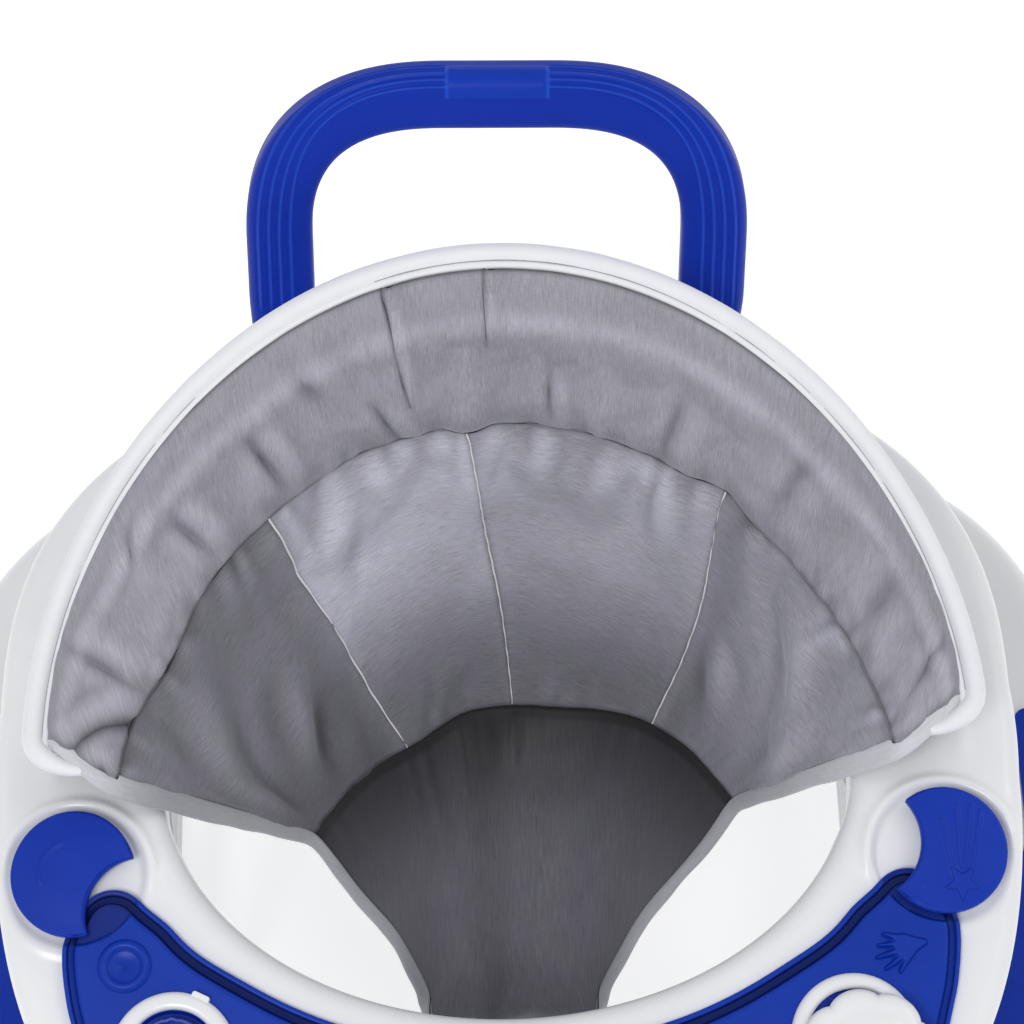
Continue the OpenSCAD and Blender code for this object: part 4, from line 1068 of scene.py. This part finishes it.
def build_seat():
    cols = SEAT_COLS
    u = np.linspace(-1, 1, cols)[None, :]
    # padded band
    v = np.linspace(0, 1, 76)[:, None]
    flat_band = band_base(u[0], v)
    n = normals(flat_band)
    puff = 8.5 * np.sin(math.pi * v) ** 0.7 + 3.6 * bell(v - 0.27, 0.10) + 1.6 * bell(v - 0.78, 0.14)
    puff = puff + 2.4 * fractal(flat_band, 0.016, 3) * np.sin(math.pi * v)
    puff = puff - 2.4 * np.abs(fractal(flat_band * [1, 1, 0.3], 0.03, 5)) * np.sin(math.pi * v)
    puff = puff + pucker(u, v, 60, 3.4, 11, edges=(1,), reach=0.15)
    puff = puff + pucker(u, v, 36, 1.3, 12, edges=(0,), reach=0.10)
    for cu, cv, du, dv, lean, depth in DENTS:
        d = u - cu - lean * (v - cv)
        puff = (puff - 1.5 * depth * bell(d, 0.9 * du) * bell(v - cv, dv)
                + 0.8 * depth * bell(d - 1.9 * du, 1.1 * du) * bell(v - cv, dv))
    # two pleats near the middle of the back
    for at, lean, depth, end in ((-0.158, 0.010, 4.0, 0.72), (-0.012, -0.012, 2.6, 0.45)):
        line = u - at - lean * v
        puff = puff - depth * bell(line, 0.0028) * (1 - smooth(v, end - 0.25, end)) + 0.4 * depth * bell(
            line - 0.010, 0.008) * (1 - smooth(v, end - 0.3, end))
    # corner folds: a deep wedge at the left, a shallow one at the right
    right = smooth(u, 0.90, 1.0)
    pleat = v - 0.35 - 4.2 * (u + 0.985)
    near = smooth(v, 0.20, 0.42) * smooth(-u, 0.79, 0.84)
    puff = puff - 5.0 * near * bell(pleat - 0.05, 0.10) + 3.5 * near * bell(pleat + 0.18, 0.13)
    puff = (puff - 3.0 * bell(u + 0.985, 0.02) * bell(v - 0.85, 0.10)
            - 3.0 * right * bell(v - 0.6 + 1.4 * (1 - u), 0.07))
    puff = puff * (1 - 0.75 * smooth(np.abs(u), 0.962, 0.998))
    band = flat_band + n * puff[..., None]
    # painted shade: darker along the rim and the lower seam and towards that seam, in the left corner's pleat
    # and hollow, along the two back pleats and in every hollow of the padding
    dark = 0.85 * bell(v - 1.0, 0.013) + 0.45 * bell(v, 0.012) + 0.16 * smooth(v, 0.78, 1.0)
    dark = (dark + 0.50 * near * bell(pleat - 0.10, 0.10)
            + 0.5 * bell(u + 0.985, 0.015) * bell(v - 0.85, 0.08)
            + 0.55 * bell(u + 0.158 - 0.010 * v, 0.0025) * (v < 0.72))
    dark = dark + 0.40 * bell(u + 0.012 + 0.012 * v, 0.0022) * (v < 0.42)
    hollow = hollows(puff)
    dark = dark + 0.30 * np.clip(hollow / 0.9, 0, 1)
    # painted highlight: paler along a streak near the rim, on broad patches in the middle and at the left,
    # and on every ridge of the padding
    patch = 0.5 + 0.5 * fractal(flat_band, 0.02, 8)
    tone_and_highlight = np.clip((0.55 + 0.25 * (u > 0)) * bell(v - 0.25, 0.055) * patch + 0.30 * bell(u - 0.12, 0.35)
                   * (v < 0.9) * patch + 0.35 * bell(u + 0.75, 0.3) * patch
                   + 0.5 * np.clip(-hollow / 0.9, 0, 1) * (v > 0.12), 0, 1)
    ob = cloth_grid("seat_band_cover", band, FABRIC_BAND, False, thickness=2.4,
                    lay=flat_band, sim={"pin_rows": (0, 1, 74, 75), "pin_cols": (0, -1), "pressure": 1.6,
                                        "slack": 0.012, "cap": 4.0}, painted_light=np.clip(dark, 0, 1), tone_and_highlight=tone_and_highlight)
    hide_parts("seat_band")
    band = np.array([p.co for p in ob.data.vertices]).reshape(76, cols, 3) / MM

    # wall panels
    v = np.linspace(0, 1, 100)[:, None]
    a, b = seam_top(u[0]), seam_low(u[0])
    flat_wall = a[None] * (1 - v[..., None]) + b[None] * v[..., None]
    n = normals(flat_wall)
    hang = -8 * np.sin(math.pi * v) * np.cos(u * math.pi / 2)
    hang = (hang + (3.0 * fractal(flat_wall, 0.012, 21) + 1.6 * fractal(flat_wall, 0.03, 22))
            * np.sin(math.pi * v))
    hang = hang + pucker(u, v, 40, 3.6, 23, edges=(0,), reach=0.17)
    hang = hang + pucker(u, v, 24, 1.4, 24, edges=(1,), reach=0.10)
    lines = [p + (q - p) * v for p, q in PANEL_SEAMS]
    bounds = [np.full_like(v, -1.0)] + lines + [np.full_like(v, 1.0)]
    # painted light: the two middle panels are lightened in their upper half and the right panel a little, as
    # if lit from the front left
    painted_panel_light = np.zeros(flat_wall.shape[:2])
    for k, swell in enumerate((2.0, 5.0, 5.0, 2.0)):
        share = np.clip((u - bounds[k]) / (bounds[k + 1] - bounds[k]), 0, 1)
        inside = (u >= bounds[k]) & (u < bounds[k + 1])
        hang = hang + np.where(inside, swell * np.sin(math.pi * share) ** 0.7 * np.sin(math.pi * v), 0)
        if k in (1, 2):
            painted_panel_light = np.where(inside, (0.85 if k == 1 else 0.60) * (1 - smooth(v, 0.42, 0.85)),
                                  painted_panel_light)
        if k == 3:
            painted_panel_light = np.where(inside, 0.26, painted_panel_light)
    # long soft folds, mostly in the side panels
    for cu, cv, run_u, run_v, depth, lean in ((-0.80, 0.38, 0.10, 0.26, 4.0, 9),
                                              (-0.62, 0.66, 0.09, 0.22, 4.2, 14),
                                              (-0.86, 0.72, 0.06, 0.20, 3.0, 4),
                                              (0.70, 0.30, 0.10, 0.26, 3.8, -10),
                                              (0.84, 0.58, 0.08, 0.22, 3.2, -6),
                                              (0.56, 0.66, 0.07, 0.2, 2.6, -14),
                                              (-0.33, 0.22, 0.035, 0.14, 3.4, 16),
                                              (-0.22, 0.10, 0.03, 0.09, 2.2, -12),
                                              (0.20, 0.12, 0.035, 0.12, 2.6, 12),
                                              (0.33, 0.16, 0.03, 0.14, 2.8, -10),
                                              (0.08, 0.10, 0.03, 0.10, 2.0, 6)):
        hang = (hang + 1.4 * depth * bell(u - cu, run_u) * bell(v - cv, run_v)
                * np.cos((u - cu) * 30 + (v - cv) * lean))
    for line in lines:
        hang = hang - 0.8 * bell(u - line, 0.005)
    hang = hang * (1 - 0.6 * smooth(np.abs(u), 0.95, 0.998))
    wall = flat_wall + n * hang[..., None]
    # painted shade: darker along every seam, just below the band, towards the bottom, on the left panel,
    # beside the right-hand seam and in every hollow of the folds
    seam_dark = sum(bell(u - line, 0.0035) for line in lines)
    dark = (0.80 * bell(v, 0.011) + 0.7 * bell(v - 1, 0.010) + 0.22 * seam_dark
            + 0.20 * (1 - smooth(v, 0.0, 0.10)))
    dark = dark + 0.30 * smooth(v, 0.40, 1.0) + 0.24 * smooth(-u, 0.40, 0.50)
    hollow = hollows(hang)
    dark = dark + 0.34 * np.clip(hollow / 0.8, 0, 1) + 0.22 * bell(u - lines[2] - 0.05, 0.04)
    # painted highlight: the panel lightening above, made patchy, plus paler ridges of the folds
    patch = 0.5 + 0.5 * fractal(flat_wall, 0.02, 9)
    panels = cloth_grid("seat_wall_cover", wall, FABRIC_WALL, True, thickness=1.6,
                        lay=flat_wall, sim={"pin_rows": (0, 99), "pin_cols": (0, -1), "pressure": -0.5,
                                            "slack": 0.012, "cap": 4.0}, painted_light=np.clip(dark, 0, 1),
                        tone_and_highlight=np.clip(painted_panel_light * (0.5 + 0.7 * patch) + 0.25 * np.clip(-hollow / 0.8, 0, 1),
                                     0, 1))
    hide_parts("seat_panels")
    surface = np.array([p.co for p in panels.data.vertices]).reshape(100, cols, 3) / MM
    n2 = normals(surface)
    for k, (at_top, at_low) in enumerate(PANEL_SEAMS):
        r = np.linspace(0, 99, 220)
        c = (at_top + (at_low - at_top) * r / 99 + 1) / 2 * (cols - 1)
        r0, c0 = np.floor(r).astype(int).clip(0, 98), np.floor(c).astype(int).clip(0, cols - 2)
        fr, fc = (r - r0)[:, None], (c - c0)[:, None]
        p = (surface[r0, c0] * (1 - fr) * (1 - fc) + surface[r0 + 1, c0] * fr * (1 - fc)
             + surface[r0, c0 + 1] * (1 - fr) * fc + surface[r0 + 1, c0 + 1] * fr * fc)
        th = tube(f"panel_stitch_{k}", even_path(p + n2[r0, c0] * 1.5, 220, 15), (0.66, 0.54, 0.60)[k],
                  "tray", THREAD, sides=6)
        lay_tube(th, 6)

    # sling
    vv = np.linspace(0, 1, 100)

    def soft_key(values):
        fine = np.interp(np.linspace(0, 1, 361), np.linspace(0, 1, 7), values)
        k = np.hanning(61)
        k /= k.sum()
        padded = np.concatenate([2 * fine[0] - fine[30:0:-1], fine, 2 * fine[-1] - fine[-2:-32:-1]])
        return np.interp(vv, np.linspace(0, 1, 361), np.convolve(padded, k, "valid"))

    y = soft_key([73, 30, -20, -70, -102, -122, -140.5])[:, None]
    z = soft_key([270, 256, 250, 250, 264, 305, 361])[:, None]
    w = soft_key([100, 82, 61, 45, 42, 41, 40])[:, None]
    back = soft_key([-95, -72, -42, -18, -4, 0, 0])[:, None]
    lift = soft_key([55, 50, 38, 10, 2, 0, 0])[:, None]
    s = np.linspace(-1, 1, 161)[None, :]
    flat_seat = np.stack(np.broadcast_arrays(w * s, y + back * np.abs(s) ** 2.6, z + lift * np.abs(s) ** 3),
                         -1)
    v2 = vv[:, None]
    flat_seat = (flat_seat + seam_pull(np.arcsin(s[0]) * 2 / math.pi)[None]
                 * (1 - smooth(v2, 0.0, 0.55))[..., None])
    n = normals(flat_seat)
    wave = (1.6 * fractal(flat_seat, 0.02, 31) + 0.8 * fractal(flat_seat, 0.05, 32)) * smooth(v2, 0.0, 0.08)
    wave = wave - 3.2 * bell(s + 0.10 + 0.25 * v2, 0.16) * smooth(v2, 0.04, 0.3) * (1 - smooth(v2, 0.7, 0.95))
    wave = wave + 1.8 * bell(s - 0.28 + 0.1 * v2, 0.14) * smooth(v2, 0.04, 0.3) * (1 - smooth(v2, 0.7, 0.95))
    wave = wave + pucker(s, v2, 22, 1.6, 33, edges=(0,), reach=0.12)
    seat = flat_seat + n * wave[..., None]
    # painted shade: darker along the top seam, over the top third and along the middle fold
    dark = (0.75 * bell(v2, 0.016) + 0.85 * (1 - smooth(v2, 0.0, 0.34))
            + 0.22 * bell(s + 0.10 + 0.25 * v2, 0.15))
    sling = cloth_grid("seat_sling_cover", seat, SLING, False, thickness=1.8, lay=flat_seat,
                       painted_light=np.clip(dark + 0 * s, 0, 1))
    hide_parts("seat_sling")

    # painted seam shadows: near-black gathered cords along the seams where the pieces join, where shade falls
    # under the band and the wall
    n3 = normals(surface)[0]
    beside = [np.sum((p - band[-1]) * n3, -1)
              for p in (surface[1], surface[2], surface[3], band[-2], band[-3])]
    rise = np.clip(np.maximum.reduce(beside), 0.3, 3.0)
    rise = np.convolve(np.pad(rise, 4, "edge"), np.ones(9) / 9, "valid")[:, None]
    rng = np.random.default_rng(61)
    for name, line, size in (("seam_shadow_band_to_wall", band[-1] + n3 * (rise + 0.3), 0.85),
                             ("seam_shadow_wall_to_sling", surface[-1] + [0, -0.3, 0.5], 0.65)):
        thick = np.convolve(rng.uniform(0.5, 1.5, len(line) + 8), np.ones(9) / 9, "valid")
        seam = tube(name, line, size * thick, "tray", SEAM_SHADOW, sides=6)
        lay_tube(seam, 6)

    # binding tape down each leg edge, from the band's corner along the wall's and the sling's edges
    sling_grid = np.array([p.co for p in sling.data.vertices]).reshape(100, 161, 3) / MM
    for side, c in (("left", 0), ("right", -1)):
        path = np.vstack([band[1::6, c], surface[4::5, c], sling_grid[3:97:4, c]])
        build_binding(side, even_path(path, 460))


def even_path(path, count, soften_by=31):
    """The path with evenly spaced points and its corners eased."""
    steps = np.concatenate([[0], np.cumsum(np.linalg.norm(np.diff(path, axis=0), axis=1))])
    at = np.linspace(0, steps[-1], count)
    path = np.stack([np.interp(at, steps, path[:, k]) for k in range(3)], -1)
    k = np.hanning(soften_by)
    k /= k.sum()
    h = soften_by // 2
    ext = np.vstack([2 * path[0] - path[h:0:-1], path, 2 * path[-1] - path[-2:-2 - h:-1]])
    return np.stack([np.convolve(ext[:, i], k, "valid") for i in range(3)], -1)


def lay_tube(ob, sides, around=0.6, along=1.4):
    idx = np.arange(len(ob.data.vertices))
    set_lay(ob, (idx % sides) * around, (idx // sides) * along)


def build_binding(side, path):
    """Satin tape folded over a leg edge: a flat loop, wider by the corner, with a wavering edge."""
    n = len(path)
    s = -1.0 if side == "left" else 1.0
    tan = np.gradient(path, axis=0)
    tan /= np.linalg.norm(tan, axis=1)[:, None]
    leg = np.stack([np.full(n, 0.15 * s), np.full(n, -0.75), np.full(n, -0.25)], -1)
    leg = leg - tan * np.sum(leg * tan, 1)[:, None]
    leg /= np.linalg.norm(leg, axis=1)[:, None]
    face = np.cross(tan, leg)
    face *= np.sign(np.sum(face * (SEAT_O + [0, -60, 200] - path), 1))[:, None]
    rng = np.random.default_rng(41 if side == "left" else 42)
    share = np.linspace(0, 1, n)
    wob = sum(rng.uniform(0.3, 1.0) * np.sin(2 * math.pi * (f * share + rng.uniform()))
              for f in (2, 4, 7, 11, 17)) / 2.5
    width = 6.0 + 4.0 * (1 - smooth(share, 0.12, 0.55)) * smooth(share, 0.0, 0.10) + 0.6 * wob
    taper = 0.55 + 0.45 * smooth(share, -0.004, 0.014)
    width *= taper
    a = np.linspace(0, 2 * math.pi, 32, endpoint=False)
    c, q = np.cos(a), np.sin(a)
    rows = []
    for i in range(n):
        wave = 0.22 * np.sin(3 * a + 9 * share[i]) * wob[i]
        across = power(c, 0.9) * width[i] / 2 * 1.1
        through = (1.9 + wave) * taper[i] * power(q, 0.8)
        centre = path[i] + leg[i] * (width[i] / 2 - 2.0) + face[i] * 0.9
        rows.append(centre + across[:, None] * leg[i] + through[:, None] * face[i])
    ob = rings_mesh(f"leg_binding_{side}", rows, "tray", BINDING, caps=True)
    lay_tube(ob, 32, 0.7, 1.0)
    # paler towards the band's corner, farther along at the right: partly the tape's own paler colour there,
    # partly painted highlight
    corner = 1 - smooth(share, *((0.02, 0.20) if side == "left" else (0.08, 0.42)))
    set_attribute(ob, "tone_and_highlight", np.repeat(corner, 32)[:len(ob.data.vertices)])
    # painted shadow: a near-black cord along the tape's inner edge, where the shade between fabric and tape
    # falls
    edge = tube(f"leg_binding_seam_shadow_{side}", path - leg * 2.15 + face * 1.1, 0.42 * taper, "tray", SEAM_SHADOW,
                sides=6)
    lay_tube(edge, 6)
    return ob


def build_rim():
    """Satin tape over the backrest's rim: a wide outer roll, a stitched line and a narrow inner roll."""
    rng = np.random.default_rng(51)
    v = np.linspace(0, 1, 11)[:, None]
    corner = band_base(np.array([-1.0, 1.0]), v)

    def along(inset, drop, reach):
        t = np.linspace(RIM_LEFT, RIM_RIGHT, 460)
        mid = rim_pt(t, inset, drop)
        ends = []
        for p, q, c in ((mid[0], mid[1], corner[reach, 0]), (mid[-1], mid[-2], corner[reach, 1])):
            tan = (p - q) / np.linalg.norm(p - q)
            side = 1.0 if p[0] > 0 else -1.0
            target = c + [0, -2.6, 0.3]
            k = np.linspace(0, 1, 30)[1:, None]
            c1, c2 = p + tan * 7.0, target + [side * 9.0, -4.5, 1.5]
            ends.append(p * (1 - k) ** 3 + 3 * c1 * k * (1 - k) ** 2 + 3 * c2 * k ** 2 * (1 - k)
                        + target * k ** 3)
        return even_path(np.vstack([ends[0][::-1], mid, ends[1]]), 620, 15)

    path = along(3.2, 4.4, 6)
    share = np.linspace(0, 1, len(path))
    wave = sum(rng.uniform(0.2, 0.6) * np.sin(f * share * 6 + rng.uniform(0, 6))
               for f in (3, 7, 13, 23, 31)) / 2
    ends = smooth(share, 0.0, 0.035) * (1 - smooth(share, 0.965, 1.0))
    ob = tube("rim_tape_outer", path, (2.6 + 2.5 * ends) * (1 + 0.025 * wave), "tray", TAPE,
              sides=32)
    lay_tube(ob, 32, 0.9, 1.5)
    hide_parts("rim_trim")
    path = along(9.4, 4.9, 2)
    cord = tube("rim_tape_inner", path, (1.2 + 0.9 * ends) * (1 + 0.07 * wave), "tray", TAPE,
                sides=16)
    lay_tube(cord, 16, 0.8, 1.5)
    line = tube("rim_stitch_line", rim_pt(np.linspace(RIM_LEFT, RIM_RIGHT, 460), 7.9, 3.0), 0.35, "tray",
                BINDING, sides=6)
    lay_tube(line, 6)
    # painted shadow: a near-black cord under the inner roll, where the fabric meets the rim
    under = tube("rim_fabric_gap_shadow", rim_pt(np.linspace(RIM_LEFT, RIM_RIGHT, 460), 11.3, 6.2), 0.9, "tray",
                 SEAM_SHADOW, sides=6)
    lay_tube(under, 6)
    # the tape's overlapped end
    t = np.linspace(math.radians(-42), math.radians(-14.5), 120)
    k = np.linspace(0, 1, 120)
    lap = tube("rim_tape_lap", rim_pt(t, 3.4, 4.5), 5.45 * (0.90 + 0.10 * smooth(k, 0.0, 0.45))
               * (1 - 0.10 * smooth(k, 0.97, 1.0)), "tray", TAPE, sides=32)
    lay_tube(lap, 32, 0.9, 1.5)

    # white ring behind the fabric
    rows = []
    k = np.linspace(0, 1, 420)
    t = (RIM_LEFT + 0.05) + (RIM_RIGHT - RIM_LEFT - 0.10) * k
    slant = math.radians(1) * (smooth(k, 0.9, 1.0) - 1 + smooth(k, 0.0, 0.1))
    head = lambda inset: rim_pt(t, inset, 8.0)
    foot = lambda inset: np.stack([(214 - inset) * np.sin(t + slant),
                                   SEAT_Y + (172 - inset) * np.cos(t + slant), np.full(len(t), 401.6)], -1)
    for q in np.linspace(0, 1, 30):
        flare = 1.6 * bell(q, 0.05) + 0.8 * bell(q - 0.985, 0.03)
        rows.append(foot(-flare) * (1 - q) + head(-flare) * q)
    rows.append(head(1.2) + [0, 0, 1.0])
    rows.append(head(3.8) + [0, 0, 1.0])
    for q in np.linspace(1, 0, 12):
        rows.append(foot(5) * (1 - q) + head(5) * q)
    rows = np.array(rows).transpose(1, 0, 2)
    # rounded ends
    for i, q in enumerate(np.linspace(0, 1, 7)[:-1]):
        pinch = math.sqrt(1 - (1 - q) ** 2) * 0.9 + 0.1
        for j in (i, len(rows) - 1 - i):
            centre = rows[j].mean(0)
            rows[j] = centre + (rows[j] - centre) * [pinch, 1, 1]
    ob = rings_mesh("seat_ring_shell", rows, "tray", WHITE, caps=True, sharp=45)
    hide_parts("seat_ring")


# ---------------------------------------------------------------- base, frame and casters

def build_base():
    outer = rrect_pts(680, 660, 155, 40)
    inner = rrect_pts(424, 492, 40, 40)
    z0, z1 = 34.0, 84.0
    # inner outline matched to the outer one, station by station
    rows = []
    add = lambda loop, d, z: rows.append(np.column_stack([offset_loop(loop, d), np.full(len(loop), z)]))
    for d, z in ((3.0, z0), (0.0, z0), (0.0, z0 + 1.0), (0.0, z0 + 9.0), (0.45, z0 + 9.3), (0.45, z0 + 10.3),
                 (0.0, z0 + 10.6), (0.0, z1 - 22)):
        add(outer, d, z)
    for x, z in round_profile(0.0, z1 - 22, 20.0, z1, 14)[1:]:
        add(outer, x, z)
    for k in np.linspace(0, 1, 12)[1:-1]:
        a, b = offset_loop(outer, 20), offset_loop(inner, -9)
        rows.append(np.column_stack([a + (b - a) * k, np.full(len(a), z1)]))
    for x, z in round_profile(0.0, z1 - 9, 9.0, z1, 8)[::-1]:
        add(inner, -x, z)
    for d, z in ((0.0, z0 + 2), (0.0, z0), (-3.0, z0), (-3.0, z1 - 10), (-10.0, z1 - 3.2)):
        add(inner, d, z)
    for d, z in ((22.0, z1 - 3.2), (3.2, z1 - 22)):
        add(outer, d, z)
    ob = rings_mesh("base_shell", np.array(rows), "base", WHITE, loop=True, sharp=50)
    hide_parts("base_cover")
    for side in ("left", "right"):
        soften(f"base_trim_{side}", 2.2, 5, material=BLUE)


def build_casters():
    for key, (x, y) in CASTERS.items():
        a = np.linspace(0, 2 * math.pi, 120, endpoint=False)
        profile = [(2.65, -7.4), (6.0, -7.4), (6.6, -6.9), (7.2, -5.3), (15.0, -5.0), (15.6, -5.4),
                   (15.9, -6.9), (16.6, -7.4), (18.6, -7.4), (20.0, -6.9), (20.8, -5.6), (21.0, -4.0),
                   (21.0, -1.4), (20.2, -0.8), (20.2, 0.8), (21.0, 1.4), (21.0, 4.0), (20.8, 5.6),
                   (20.0, 6.9), (18.6, 7.4), (16.6, 7.4), (15.9, 6.9), (15.6, 5.4), (15.0, 5.0), (7.2, 5.3),
                   (6.6, 6.9), (6.0, 7.4), (2.65, 7.4)]
        rows = []
        for r, h in profile:
            spoke = 0.9 * np.maximum(0, np.cos(5 * a)) ** 2 if 7 < r < 15.2 else 0
            rows.append(np.stack([x + h + np.sign(h) * spoke * (np.ones_like(a)),
                                  y + 12 + r * np.cos(a), 21 + r * np.sin(a)], -1))
        ob = rings_mesh(f"wheel_{key}_tyre", np.array(rows), f"wheel_{key}", TYRE,
                        loop=True, sharp=50)
        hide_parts(f"caster_wheel_{key}")
        soften(f"caster_fork_{key}", 0.7, 2, material=FRAME_W)


def carry_over():
    """CAD parts whose shapes are right: rounded edges or a better material."""
    for side in ("left", "right"):
        for node in (f"arm_a_{side}", f"arm_b_{side}"):
            soften(node, 1.1, 3, material=FRAME_W)
        for node in (f"base_rail_{side}", f"tray_rail_{side}"):
            soften(node, 0.9, 3, material=FRAME_W)
    soften("tray_underside", 0.5, 2, material=FRAME_W)
    soften("battery_door", 0.5, 2, material=FRAME_W)
    soften("height_latch", 0.8, 3, material=BLUE)
    soften("anti_roll_pads", 1.2, 3, material=RUBBER)
    soften("caster_sockets", 0.5, 2, material=FRAME_W)
    for name, node in NODES.items():
        if node.hide_render:
            continue
        node.data.materials.clear()
        node.data.materials.append(STEEL)
        node.data.polygons.foreach_set("use_smooth", [True] * len(node.data.polygons))
        node.data.set_sharp_from_angle(angle=math.radians(35))


# ---------------------------------------------------------------- light, floor and camera

def build_stage():
    me = bpy.data.meshes.new("floor")
    me.from_pydata([(-30, -30, 0), (30, -30, 0), (30, 30, 0), (-30, 30, 0)], [], [(0, 1, 2, 3)])
    floor = bpy.data.objects.new("floor", me)
    me.materials.append(floor_material())
    bpy.context.scene.collection.objects.link(floor)

    world = bpy.data.worlds.new("studio")
    bpy.context.scene.world = world
    world.use_nodes = True
    world.node_tree.nodes["Background"].inputs[0].default_value = (1.0, 1.0, 1.0, 1.0)
    world.node_tree.nodes["Background"].inputs[1].default_value = 0.62

    def area(name, place, size, power, target=(0, 0, 0.4)):
        light = bpy.data.lights.new(name, "AREA")
        light.shape, light.size, light.energy = "DISK", size, power
        ob = bpy.data.objects.new(name, light)
        bpy.context.scene.collection.objects.link(ob)
        ob.location = place
        ob.rotation_mode = "QUATERNION"
        ob.rotation_quaternion = (Vector(place) - Vector(target)).to_track_quat("Z", "Y")

    area("key", (-0.55, -1.15, 2.3), 0.8, 17)
    area("fill", (1.5, 0.3, 2.1), 1.2, 6)

    camera = bpy.data.cameras.new("view")
    camera.lens, camera.sensor_width = 109.7, 36.0
    camera.clip_start, camera.clip_end = 0.05, 40
    ob = bpy.data.objects.new("view", camera)
    bpy.context.scene.collection.objects.link(ob)
    right, up, look = Vector((1, 0, 0)), Vector((0, 0.883, 0.469)), Vector((0, 0.469, -0.883))
    roll = math.radians(1.6)
    r = right * math.cos(roll) - up * math.sin(roll)
    u = up * math.cos(roll) + right * math.sin(roll)
    m = Matrix((r, u, -look)).transposed().to_4x4()
    m.translation = Vector((0.0061, -0.6241, 1.8039))
    ob.matrix_world = m
    bpy.context.scene.camera = ob
    bpy.context.scene.view_settings.view_transform = "Standard"


FABRIC_BAND = cloth("grey_shot_satin_band", (0.170, 0.168, 0.193), (0.395, 0.390, 0.432),
                    shade=(0.02, 0.02, 0.023), tone_and_highlight=1.42)
FABRIC_WALL = cloth("grey_shot_satin_wall", (0.125, 0.124, 0.145), (0.325, 0.322, 0.360),
                    shade=(0.02, 0.02, 0.023), tone_and_highlight=2.3)

build_stage()
build_tray()
build_console()
for which in ("left", "right"):
    build_disc(which)
build_toys()
build_music_box()
build_handle()
build_seat()
build_rim()
build_base()
build_casters()
carry_over()
